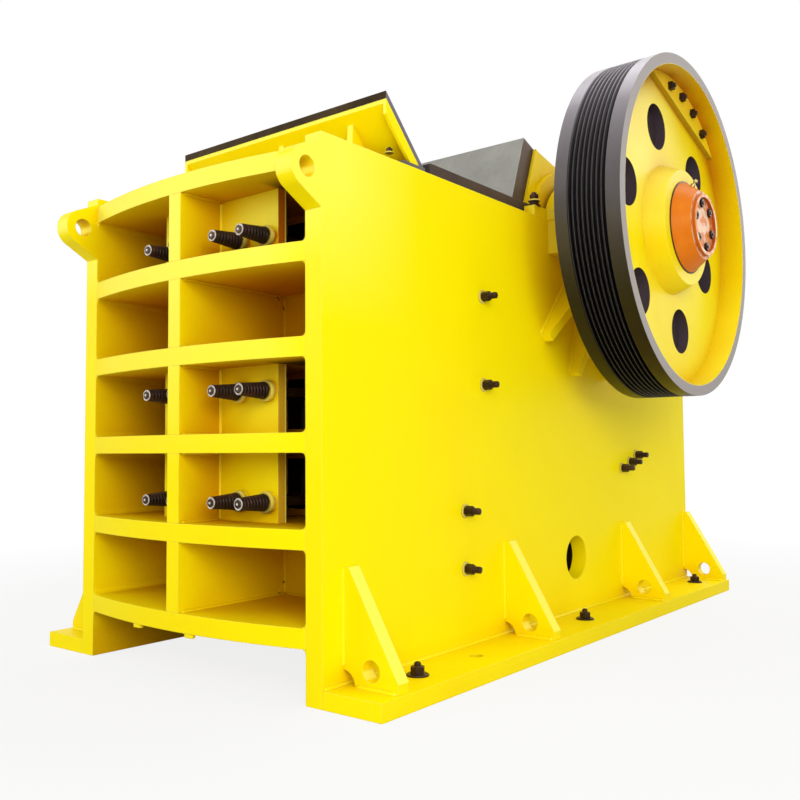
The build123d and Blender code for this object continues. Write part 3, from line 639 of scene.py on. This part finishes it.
forward = np.array([0.0, -1.0, 0.0])
up = np.array([0.0, 0.0, 1.0])
rightwards = np.array([1.0, 0.0, 0.0])


def tube(points):
    # points is rows by columns by 3: quads between neighbouring rows and a many-sided face on
    # each end; volume = sum of p0 . (p1 x p2) / 6 over the quads tells which way the faces
    # look, and they are turned outwards
    rows, columns = points.shape[:2]
    row = np.arange(rows - 1)[:, None] * columns
    column = np.arange(columns)[None, :]
    beside = (column + 1) % columns
    quads = np.stack(
        [row + column, row + beside, row + columns + beside, row + columns + column], -1
    ).reshape(-1, 4)
    faces = quads.tolist()
    faces += [list(range(columns))[::-1], list(range((rows - 1) * columns, rows * columns))]
    flat = points.reshape(-1, 3)
    middle = flat.mean(0)
    a, b, c, d = (flat[quads[:, index]] - middle for index in range(4))
    volume = (np.cross(a, b) * c).sum() + (np.cross(a, c) * d).sum()
    if volume < 0:
        faces = [face[::-1] for face in faces]
    return flat, faces


def squareTo(axis):
    # The unit axis, and two unit vectors square to it and to each other
    axis = np.array(axis, float)
    axis /= np.linalg.norm(axis)
    helper = up if abs(axis[2]) < 0.9 else rightwards
    first = np.cross(helper, axis)
    first /= np.linalg.norm(first)
    return axis, first, np.cross(axis, first)


def around(foot, axis, along, radius):
    # point = foot + axis * along + radius * (first * cos + second * sin), with along and
    # radius given per row and column
    axis, first, second = squareTo(axis)
    angle = np.linspace(0, 2 * np.pi, radius.shape[1], endpoint=False)
    ring = np.cos(angle)[:, None] * first + np.sin(angle)[:, None] * second
    return np.array(foot) + along[..., None] * axis + radius[..., None] * ring


def turned(foot, axis, profile, columns=32):
    # profile is a list of (along, radius) from foot to end
    along, radius = np.array(profile, float).T
    grid = np.ones((1, columns))
    return tube(around(foot, axis, along[:, None] * grid, radius[:, None] * grid))


def hexNut(foot, axis, apothem, height):
    # radius = the smaller of the hexagon's apothem / cos(angle) and a cone of 30 degrees
    angle = np.linspace(0, 2 * np.pi, 48, endpoint=False)
    side = (angle + np.pi / 6) % (np.pi / 3) - np.pi / 6
    hexagon = apothem / np.cos(side)
    corner = apothem / math.cos(math.pi / 6)
    drop = (corner - apothem) * 0.62
    along = np.concatenate([[0.0], height - drop * (1 - np.linspace(0, 1, 5))])
    reach = np.minimum(np.minimum(height - along, along + drop) / drop, 1)
    cone = apothem * 0.99 + (corner - apothem * 0.99) * reach
    radius = np.minimum(hexagon[None, :], cone[:, None])
    return tube(around(foot, axis, along[:, None] * np.ones_like(radius), radius))


def threadedEnd(foot, axis, radius, length, pitch, depth):
    # radius falls by depth * (triangle wave of along / pitch - angle / 2 pi), with a bevelled tip
    columns = 20
    rows = max(int(length / pitch * 5), 6)
    along = np.linspace(0, length, rows)[:, None] * np.ones((1, columns))
    angle = np.linspace(0, 1, columns, endpoint=False)[None, :]
    wave = 2 * np.abs((along / pitch - angle) % 1 - 0.5)
    tip = np.clip((along - length + 2 * depth) / (2 * depth), 0, 1) * depth * 1.5
    return tube(around(foot, axis, along, radius - depth * (1 - wave) - tip))


def coil(foot, axis, length, startRadius, endRadius, wire, turns, columns=10, steps=22):
    # The wire's centre runs on a helix whose radius goes from startRadius to endRadius; the
    # first and last turns lie flat against their seats
    axis, first, second = squareTo(axis)
    t = np.linspace(0, 1, int(turns * steps))
    angle = 2 * np.pi * turns * t
    ground = 1.0 / turns
    rise = np.clip((t - ground * 0.7) / (1 - 1.4 * ground), 0, 1)
    along = wire + (length - 2 * wire) * rise
    reach = startRadius + (endRadius - startRadius) * t
    outwards = np.cos(angle)[:, None] * first + np.sin(angle)[:, None] * second
    centre = np.array(foot) + along[:, None] * axis + reach[:, None] * outwards
    about = np.linspace(0, 2 * np.pi, columns, endpoint=False)[None, :, None]
    section = np.cos(about) * outwards[:, None, :] + np.sin(about) * axis
    return tube(centre[:, None, :] + wire * section)


def block(centre, size, rounding, axes=np.eye(3)):
    # Section = superellipse |x|^n + |y|^n = 1; it is drawn in at both ends by a quarter circle
    half = np.array(size) / 2
    edge = rounding * half.min()
    columns = 32
    angle = np.linspace(0, 2 * np.pi, columns, endpoint=False) + np.pi / columns
    power = 2 / (2 + 1.6 / rounding)
    waves = np.array([np.cos(angle), np.sin(angle)])
    flatX, flatY = np.sign(waves) * np.abs(waves) ** power
    quarter = np.linspace(0, np.pi / 2, 5)
    rising, falling = edge * (1 - np.sin(quarter)), edge * (1 - np.cos(quarter))
    inset = np.concatenate([rising, falling])[:, None]
    x = flatX * (half[0] - inset)
    y = flatY * (half[1] - inset)
    z = np.concatenate([-half[2] + falling, half[2] - rising])[:, None] * np.ones_like(x)
    return tube(centre + x[..., None] * axes[0] + y[..., None] * axes[1] + z[..., None] * axes[2])


def rod(start, end, radius):
    # A round bead with blunt ends: radius * (0.4, 1, 1, 0.4) along the run
    run = end - start
    length = np.linalg.norm(run)
    tip, blunt = min(radius, length / 2) * 0.6, radius * 0.4
    profile = [(0, blunt), (tip, radius), (length - tip, radius), (length, blunt)]
    return turned(start, run, profile, 16)


def weld(start, end, faceA, faceB, leg, hollow=-0.15, ripple=0.14, skirt=0.0):
    # A corner bead: at each angle of the corner its reach lies between the flat chord
    # leg / (cos + sin) and a circle's hollow; ripple swells it every pitch along the run,
    # and a skirt carries its two edges on just under the walls
    start, end, faceA, faceB = (np.array(value, float) for value in (start, end, faceA, faceB))
    pitch = 0.009
    length = np.linalg.norm(end - start)
    rows = max(int(length / pitch * 4), 8) if ripple else 6
    along = np.linspace(0, 1, rows)
    angle = np.linspace(0, np.pi / 2, 9)
    total = np.cos(angle) + np.sin(angle)
    chord = 1 / total
    circle = total - np.sqrt(np.maximum(total**2 - 1, 0))
    reach = leg * (chord + (circle - chord) * hollow)
    phase = along * length / pitch
    swell = 1 + ripple * (np.abs(np.sin(np.pi * phase)) ** 0.6 - 0.6)
    if ripple:
        swell = swell * np.clip(np.minimum(along, 1 - along) * length / leg, 0.25, 1)
    scale = swell[:, None] * reach[None, :]
    bead = scale[..., None] * (np.cos(angle)[:, None] * faceA + np.sin(angle)[:, None] * faceB)
    line = start + (end - start) * along[:, None]
    if skirt:
        walls = ((faceA, faceB), (faceB, faceA))
        edges = [(leg + skirt) * wall - 0.0012 * other for wall, other in walls]
        low, high = (np.broadcast_to(edge, (rows, 1, 3)) for edge in edges)
        bead = np.concatenate([low, bead, high], 1)
    root = np.broadcast_to(-0.002 * (faceA + faceB), (rows, 1, 3))
    return tube(line[:, None, :] + np.concatenate([bead, root], 1))


def makePiece(name, shapes, material, sharp=38, body="frame", replaced=()):
    points = np.concatenate([shape[0] for shape in shapes])
    starts = np.cumsum([0] + [len(shape[0]) for shape in shapes[:-1]])
    faces = [
        [corner + int(start) for corner in face]
        for start, shape in zip(starts, shapes)
        for face in shape[1]
    ]
    mesh = bpy.data.meshes.new(name)
    mesh.from_pydata(points.tolist(), [], faces)
    mesh.materials.append(material)
    mesh.shade_smooth()
    mesh.set_sharp_from_angle(angle=math.radians(sharp))
    piece = addObject(name, mesh)
    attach(piece, body)
    if replaced:
        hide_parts(*replaced)


def mirrored(shapes):
    # The same shapes on the machine's other side, with their faces turned back outwards
    return [(points * [-1, 1, 1], [face[::-1] for face in faces]) for points, faces in shapes]


def makeBothSides(pieces, sharp=38, body="frame"):
    # pieces holds (name, shapes of the right side, material, slot)
    for side, placed in (("right", list), ("left", mirrored)):
        for name, shapes, material, slot in pieces:
            makePiece(f"{name}_{side}", placed(shapes), material, sharp, body)


def front(x, y, z):
    # A place whose y is measured from the side plates' front edge
    return np.array([x, frontEdge + y, z])


def boltUp(seat, axis, washer, nut, stud, steel, washers):
    # A washer, a nut and a stud's threaded end, standing on seat along axis
    radius, thick = washer
    washers.append(turned(seat - axis * 0.001, axis, [
        (0, radius * 0.5), (0, radius), (thick * 0.75 + 0.001, radius),
        (thick + 0.001, radius - 0.0015), (thick + 0.001, radius * 0.5),
    ]))
    steel.append(hexNut(seat + axis * thick, axis, *nut))
    end = seat + axis * (thick + nut[1] * 0.8)
    steel.append(threadedEnd(end, axis, stud[0], stud[1] + nut[1] * 0.2, 0.0035, 0.0012))


# Spring bolts of the fixed jaw: a boss, a thick washer, a close-wound tapering spring and a
# ringed end. Pairs are radius and length, or a ring's outer and inner radius and height.
springBolts = {
    "columns": (-0.2265, -0.0765, 0.1655, 0.3155),
    "heights": (0.667, 1.082, 1.667),
    "seat": 0.129,
    "shank": (0.0168, 0.52),  # radius, and how far back it reaches
    "boss": (0.035, 0.016),
    "washer": (0.041, 0.016),
    "springLength": 0.123,
    "springRadii": (0.0281, 0.0171),
    "wire": 0.0059,
    "turns": 9.3,
    "endRing": (0.0220, 0.0192, 0.004),
    "nut": (0.0142, 0.007),
    "studTip": (0.0055, 0.010),
}


def addSpringBolts(settings):
    steel, bosses, washers, springs, rings = [], [], [], [], []
    bossRadius, bossHeight = settings["boss"]
    radius, thick = settings["washer"]
    wire, length = settings["wire"], settings["springLength"]
    wide, narrow = (reach - wire * 0.3 for reach in settings["springRadii"])
    outer, inner, proud = settings["endRing"]
    shank, rear = settings["shank"]
    for x in settings["columns"]:
        for z in settings["heights"]:
            seat = front(x, settings["seat"], z)
            bosses.append(turned(seat, forward, [
                (-0.001, bossRadius + 0.003), (0.003, bossRadius), (bossHeight, bossRadius)], 40))
            top = seat + forward * bossHeight
            shadow = [(0, radius - 0.002), (0.0032, radius - 0.002)]  # a dark line under the washer
            steel.append(turned(top - forward * 0.003, forward, shadow, 40))
            washers.append(turned(top, forward, [
                (0, radius), (thick - 0.003, radius), (thick, radius - 0.002), (thick, 0.018)], 48))
            foot = top + forward * thick
            springs.append(
                coil(foot, forward, length, *settings["springRadii"], wire, settings["turns"])
            )
            steel.append(turned(foot, forward, [(-0.002, wide), (length, narrow)], 32))
            end = foot + forward * length
            cap = outer + 0.0006
            steel.append(turned(end, forward, [(-0.004, cap), (0.001, cap), (0.001, 0.006)], 40))
            rings.append(turned(end, forward, [
                (0, inner), (0, outer), (proud - 0.001, outer), (proud, outer - 0.001),
                (proud, inner + 0.001), (proud - 0.001, inner)], 40))
            steel.append(hexNut(end, forward, *settings["nut"]))
            rings.append(threadedEnd(end, forward, *settings["studTip"], 0.003, 0.0007))
            run = [(0, shank), (rear - settings["seat"], shank)]
            steel.append(turned(front(x, rear, z), forward, run, 24))
    makePiece("spring_bolt_studs", steel, boltSteel, replaced=["jaw_bolts"])
    makePiece("spring_bolt_bosses", bosses, clampPaint)
    makePiece("spring_bolt_washers", washers, washerPaint)
    makePiece("spring_bolt_springs", springs, springSteel, 60)
    makePiece("spring_bolt_rings", rings, ringSteel)


addSpringBolts(springBolts)
print("spring bolts made")


# Tension springs: ground coil springs between the rear wall and the rods' washers
tensionCoils = {
    "radius": 0.047,
    "sleeve": 0.058,  # radius of the solid that they stand for
    "wire": 0.0105,
    "turns": 8.5,
    "rise": 20.0,
    "length": 0.26,
}


def addTensionSprings(settings):
    # The box of a leaning cylinder is wider than its axis by sleeve * sin and sleeve * cos
    lean = math.radians(settings["rise"])
    axis = np.array([0, math.cos(lean), math.sin(lean)])
    low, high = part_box("tension_springs")
    sleeve, radius = settings["sleeve"], settings["radius"]
    y, z = low.y + sleeve * math.sin(lean), low.z + sleeve * math.cos(lean)
    size = (settings["length"], radius, radius, settings["wire"], settings["turns"], 12, 28)
    springs = [coil((x, y, z), axis, *size) for x in (low.x + sleeve, high.x - sleeve)]
    makePiece("tension_coils", springs, springSteel, 60, replaced=["tension_springs"])


addTensionSprings(tensionCoils)
print("tension springs made")


# Cheek bolts through the side plates, and the three on the toggle beam's line
sideBolts = {
    "cheek": ((1.000, 1.508), (1.004, 1.130), (0.853, 0.606), (0.854, 0.371)),
    "beam": ((2.370, 0.749), (2.470, 0.781), (2.556, 0.818)),
    "washer": (0.030, 0.006),
    "nut": (0.0188, 0.034),
    "stud": (0.0142, 0.033),
}


def addSideBolts(settings):
    steel, washers = [], []
    fittings = [settings[key] for key in ("washer", "nut", "stud")]
    for y, z in settings["cheek"] + settings["beam"]:
        boltUp(front(plateFace, y, z), rightwards, *fittings, steel, washers)
    makeBothSides([
        ("side_bolts", steel, boltSteel, "bolt_steel"),
        ("side_washers", washers, washerPaint, "frame_paint"),
    ])


addSideBolts(sideBolts)


# Anchor bolts on the flange: a wide dark washer, a nut and a domed stud
anchorBolts = {
    "places": (0.354, 1.650, 3.068),
    "x": 0.8275,
    "washer": (0.041, 0.007),
    "nut": (0.0235, 0.026),
    "stud": 0.0125,
    "dome": ((0, 1.3), (0.004, 1.05), (0.006, 1), (0.014, 1), (0.018, 0.7), (0.0195, 0.3)),
}


def addAnchorBolts(settings):
    steel = []
    radius, thick = settings["washer"]
    rise = thick + settings["nut"][1] - 0.003
    washer = [(0, 1), (thick * 0.6, 1), (thick, 0.93), (thick + 0.001, 0.62)]
    washer = [(along, radius * share) for along, share in washer]
    dome = [(along, settings["stud"] * share) for along, share in settings["dome"]]
    for y in settings["places"]:
        seat = front(settings["x"], y, flangeHigh.z)
        steel.append(turned(seat, up, washer, 40))
        steel.append(hexNut(seat + up * thick, up, *settings["nut"]))
        steel.append(turned(seat + up * rise, up, dome, 24))
    makeBothSides([("anchor_bolts", steel, boltSteel, "bolt_steel")])


addAnchorBolts(anchorBolts)


# Bolts of the bearing caps' feet, of the bearing covers and of the feed guard's frame
housingBolts = {
    "innerFoot": ((0.678, 1.500), (0.678, 2.496)),  # two nuts with a washer between them
    "outerFoot": ((0.815, 1.632), (0.815, 2.364)),
    "footTop": 2.007,
    "footPlate": ((-0.001, 0.031), (0.006, 0.031), (0.007, 0.029)),
    "lockNut": (0.0225, 0.020),
    "footBolt": ((0.029, 0.006), (0.0205, 0.024), (0.013, 0.012)),  # washer, nut, stud
    "coverCircle": 0.163,
    "coverCount": 8,
    "coverStart": 0.39,
    "coverNut": (0.012, 0.0105),
    "guardPlace": (0.560, 0.548, 2.047),
    "guardBolt": ((0.018, 0.004), (0.0125, 0.013), (0.0075, 0.006)),
}


def addHousingBolts(settings):
    steel, washers = [], []
    plate, lockNut = settings["footPlate"], settings["lockNut"]
    for x, y in settings["innerFoot"] + settings["outerFoot"]:
        seat = front(x, y, settings["footTop"])
        if (x, y) in settings["innerFoot"]:
            steel.append(turned(seat, up, plate, 32))
            steel.append(hexNut(seat + up * plate[-1][0], up, *lockNut))
            seat = seat + up * (plate[-1][0] + lockNut[1])
        boltUp(seat, up, *settings["footBolt"], steel, washers)
    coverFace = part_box("bearing_cover_right")[1].x
    reach, count = settings["coverCircle"], settings["coverCount"]
    for turn in np.arange(count) * 2 * np.pi / count + settings["coverStart"]:
        y, z = shaftY + reach * math.cos(turn), shaftZ + reach * math.sin(turn)
        steel.append(hexNut((coverFace - 0.001, y, z), rightwards, *settings["coverNut"]))
    boltUp(front(*settings["guardPlace"]), up, *settings["guardBolt"], steel, washers)
    makeBothSides([
        ("housing_bolts", steel, boltSteel, "bolt_steel"),
        ("housing_washers", washers, washerPaint, "frame_paint"),
    ])


addHousingBolts(housingBolts)


# Wheel fittings: counterweight bolts, hub cover bolts, a joint ring, a grease nipple and the
# dark discs that close the web's holes, as painted shade
wheelFittings = {
    "weightCircle": 0.708,
    "weightAngles": (91, 79.2, 67.3, 55.3),
    "weightHead": (0.036, 0.036, 0.024),
    "weightStud": (0.0115, 0.012, 0.003, 0.001),  # radius, length, pitch, depth
    "coverCircle": 0.103,
    "coverAngles": (-16, 44, 104, 164, 224, 284),
    "coverNut": (0.0182, 0.0125),
    "coverStud": (0.0085, 0.0065, 0.003, 0.0008),
    "coverRecess": 0.016,
    "joint": ((0.0, 0.2175), (0.0, 0.2205), (0.003, 0.2205), (0.0045, 0.2175)),
    "nipple": ((-0.01, 0.012), (0.008, 0.012), (0.0085, 0.007), (0.018, 0.007),
               (0.020, 0.0105), (0.028, 0.0105), (0.033, 0.005)),
    "nipplePlace": (0.02856, 0.011, 0.201),  # from the cover's inner end on the axle
    "nippleLean": (0.55, 0.1, 0.83),
    "discPlace": 1.082,
    "dish": ((0, 1), (0.006, 1), (0.006, 0.86), (0.003, 0.8), (0.003, 0.1)),
}


def aboutShaft(x, degrees, reach):
    # The point at the angle and reach about the shaft, and its outward direction
    turn = math.radians(degrees)
    out = np.array([0, math.cos(turn), math.sin(turn)])
    return np.array([x, shaftY, shaftZ]) + reach * out, out


def addWheelFittings(settings):
    heads, nuts, discs = [], [], []
    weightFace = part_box("counterweight_right")[1].x
    coverStart, coverEnd = (corner.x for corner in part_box("hub_cover_right"))
    height = settings["weightHead"][2]
    for degrees in settings["weightAngles"]:
        seat, out = aboutShaft(weightFace, degrees, settings["weightCircle"])
        axes = (out, np.cross(rightwards, out), rightwards)
        centre = seat + rightwards * (height / 2 - 0.001)
        heads.append(block(centre, settings["weightHead"], 0.22, axes))
        top = seat + rightwards * (height - 0.004)
        heads.append(threadedEnd(top, rightwards, *settings["weightStud"]))
    for degrees in settings["coverAngles"]:
        place = coverEnd - settings["coverRecess"]
        seat, out = aboutShaft(place, degrees, settings["coverCircle"])
        nuts.append(hexNut(seat - rightwards * 0.001, rightwards, *settings["coverNut"]))
        nuts.append(threadedEnd(seat + rightwards * 0.009, rightwards, *settings["coverStud"]))
    axle = np.array([coverStart, shaftY, shaftZ])
    joint = [turned(axle, rightwards, settings["joint"], 96)]
    foot = axle + settings["nipplePlace"]
    nipple = [turned(foot, settings["nippleLean"], settings["nipple"], 24)]
    count, radius = wheelPaint["holeCount"], wheelPaint["holeRadius"]
    dish = [(along, radius * share) for along, share in settings["dish"]]
    for index in range(count):
        degrees = wheelPaint["holeTurn"] + 360 / count * index
        seat, out = aboutShaft(settings["discPlace"], degrees, wheelPaint["holeCircle"])
        discs.append(turned(seat, rightwards, dish, 64))
    makeBothSides([
        ("weight_bolts", heads, boltSteel, "bolt_steel"),
        ("hub_bolts", nuts, boltSteel, "bolt_steel"),
        ("hub_joint", joint, boltSteel, "bolt_steel"),
        ("grease_nipple", nipple, brass, "bolt_steel"),
        ("shade_discs", discs, paintedShadeDark, "guard_steel"),
    ], body="rotor")


addWheelFittings(wheelFittings)
print("bolts made")


# Welds in the front's cells: wide ground fillets along the side plates, and rippled beads
ribBoxes = [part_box(f"front_rib_{index + 1}") for index in range(6)]
cellWelds = {
    "ribMiddles": [(low.z + high.z) / 2 for low, high in ribBoxes],
    "ribHalf": 0.035,
    "ribBow": 0.073,
    "centreHalf": 0.0345,
    "wall": 0.483,
    "clampCells": (1, 2, 4),
    "clampFace": 0.129,
    "cornerLeg": 0.022,
    "skirt": 0.008,
    "beadLeg": 0.009,
    "underReach": 0.40,
}


def bowAt(x):
    # bow = ribBow * (1 - (x / plateInside)^2), how far the ribs stand before the front edge
    return cellWelds["ribBow"] * (1 - (x / plateInside) ** 2)


def cellHeights(cell):
    # The cell's floor and ceiling
    middles, half = cellWelds["ribMiddles"], cellWelds["ribHalf"]
    return middles[cell] + half, middles[cell + 1] - half


def addCellWelds(settings):
    fillets, beads = [], []
    wall, leg = settings["wall"], settings["beadLeg"]
    fillet = (settings["cornerLeg"], 1.0, 0.0, settings["skirt"])
    for cell in range(5):
        floor, ceiling = cellHeights(cell)
        clamped = cell in settings["clampCells"]
        rear = settings["clampFace"] if clamped else wall
        for side in (-1, 1):
            wallX, midX = side * plateInside, side * settings["centreHalf"]
            outwards = rightwards * side
            for z, face in ((floor, up), (ceiling, -up)):
                start, end = front(wallX, 0.001, z), front(wallX, wall, z)
                fillets.append(weld(start, end, -outwards, face, *fillet))
                start, end = front(midX, 0.012 - bowAt(midX), z), front(midX, rear - 0.002, z)
                beads.append(weld(start, end, outwards, face, leg))
                beads.append(weld(front(midX, wall, z), front(wallX, wall, z), forward, face, leg))
            start, end = front(wallX, wall, floor), front(wallX, wall, ceiling)
            beads.append(weld(start, end, forward, -outwards, leg))
            if not clamped:
                start, end = front(midX, wall, floor), front(midX, wall, ceiling)
                beads.append(weld(start, end, forward, outwards, leg))
    foot = settings["ribMiddles"][0] - settings["ribHalf"]
    for side in (-1, 1):
        x = side * plateInside
        start, end = front(x, 0.001, foot), front(x, settings["underReach"], foot)
        fillets.append(weld(start, end, rightwards * -side, -up, *fillet))
    makePiece("cell_fillets", fillets, framePaint, 30)
    makePiece("cell_beads", beads, framePaint, 60)


addCellWelds(cellWelds)


# Two stub lugs under the lowest rib, torch-cut corners of the centre rib in two cells with
# burnt spots along them, a pale bead beside each clamp plate, and a pale dot as a painted
# highlight.
# Cuts, burns and the dot are given by their ends' place and height, and the last two by a radius.
frontDetails = {
    "lugs": (-0.235, 0.089),
    "lugSize": (0.046, 0.018, 0.017),
    "cuts": (((0.484, 0.320), (0.446, 0.262)), ((0.427, 1.516), (0.484, 1.446))),
    "cutRadius": 0.0022,
    "burns": (
        ((0.481, 0.313), (0.469, 0.304), 0.0036), ((0.449, 0.268), (0.448, 0.262), 0.0052),
        ((0.430, 1.512), (0.450, 1.492), 0.0030), ((0.466, 1.472), (0.481, 1.452), 0.0036),
    ),
    "highlightDot": ((0.482, 1.438), (0.482, 1.428), 0.0042),
    "clampBead": 0.008,
}


def addFrontDetails(settings):
    face = cellWelds["centreHalf"]
    underside = ribBoxes[0][0].z
    depth, height = settings["lugSize"][1:]
    middle = underside - height / 2 + 0.001
    places = [front(x, depth / 2 + 0.002 - bowAt(x), middle) for x in settings["lugs"]]
    pale = [block(place, settings["lugSize"], 0.35) for place in places]

    def onRib(start, end, radius):
        return rod(front(face, *start), front(face, *end), radius)

    cuts = [onRib(*cut, settings["cutRadius"]) for cut in settings["cuts"]]
    burns = [onRib(*burn) for burn in settings["burns"]]
    pale.append(onRib(*settings["highlightDot"]))
    for cell in cellWelds["clampCells"]:
        start, end = (front(face, cellWelds["clampFace"], z) for z in cellHeights(cell))
        pale.append(weld(start, end, forward, rightwards, settings["clampBead"], -0.1, 0.1))
    makePiece("pale_beads", pale, beadPaint, 60)
    makePiece("torch_cuts", cuts, framePaint, 60)
    makePiece("burnt_spots", burns, burntPaint, 60)


addFrontDetails(frontDetails)


# Rippled beads beside the gussets, along the plate's foot and beside the housing's ribs
plateWelds = {
    "gussets": (0.131, 1.177, 2.373, 3.262),
    "gussetHalf": 0.028,
    "gussetHeights": (0.118, 0.458),
    "flangeReach": (0.756, 0.934),
    "leg": 0.010,
    "ribAngles": (-42, -15.7, 15.7, 42),
    "ribHalf": 0.023,
    "ribReach": (0.325, 0.715),
}


def addPlateWelds(settings):
    beads = []
    leg, half = settings["leg"], settings["gussetHalf"]
    top, rearEnd = flangeHigh.z, flangeHigh.y - frontEdge
    sides = [(middle + side * half, side) for middle in settings["gussets"] for side in (-1, 1)]
    for y, side in sides:
        if y > rearEnd - 0.02:
            continue
        face = forward * -side
        start, end = (front(plateFace, y, z) for z in settings["gussetHeights"])
        beads.append(weld(start, end, rightwards, face, leg))
        start, end = (front(x, y, top) for x in settings["flangeReach"])
        beads.append(weld(start, end, up, face, leg))
    start, end = (front(plateFace, y, top) for y in (0.004, rearEnd - 0.004))
    beads.append(weld(start, end, up, rightwards, leg, ripple=0.12))
    hub = np.array([plateFace, shaftY, shaftZ])
    for degrees in settings["ribAngles"]:
        swing = math.radians(degrees)
        run = np.array([0, math.sin(swing), -math.cos(swing)])
        across = np.array([0, math.cos(swing), math.sin(swing)])
        for side in (-1, 1):
            edge = hub + across * side * settings["ribHalf"]
            start, end = (edge + run * reach for reach in settings["ribReach"])
            beads.append(weld(start, end, rightwards, across * side, leg))
    makeBothSides([("plate_welds", beads, framePaint, "frame_paint")], 60)


addPlateWelds(plateWelds)
print("welds made")
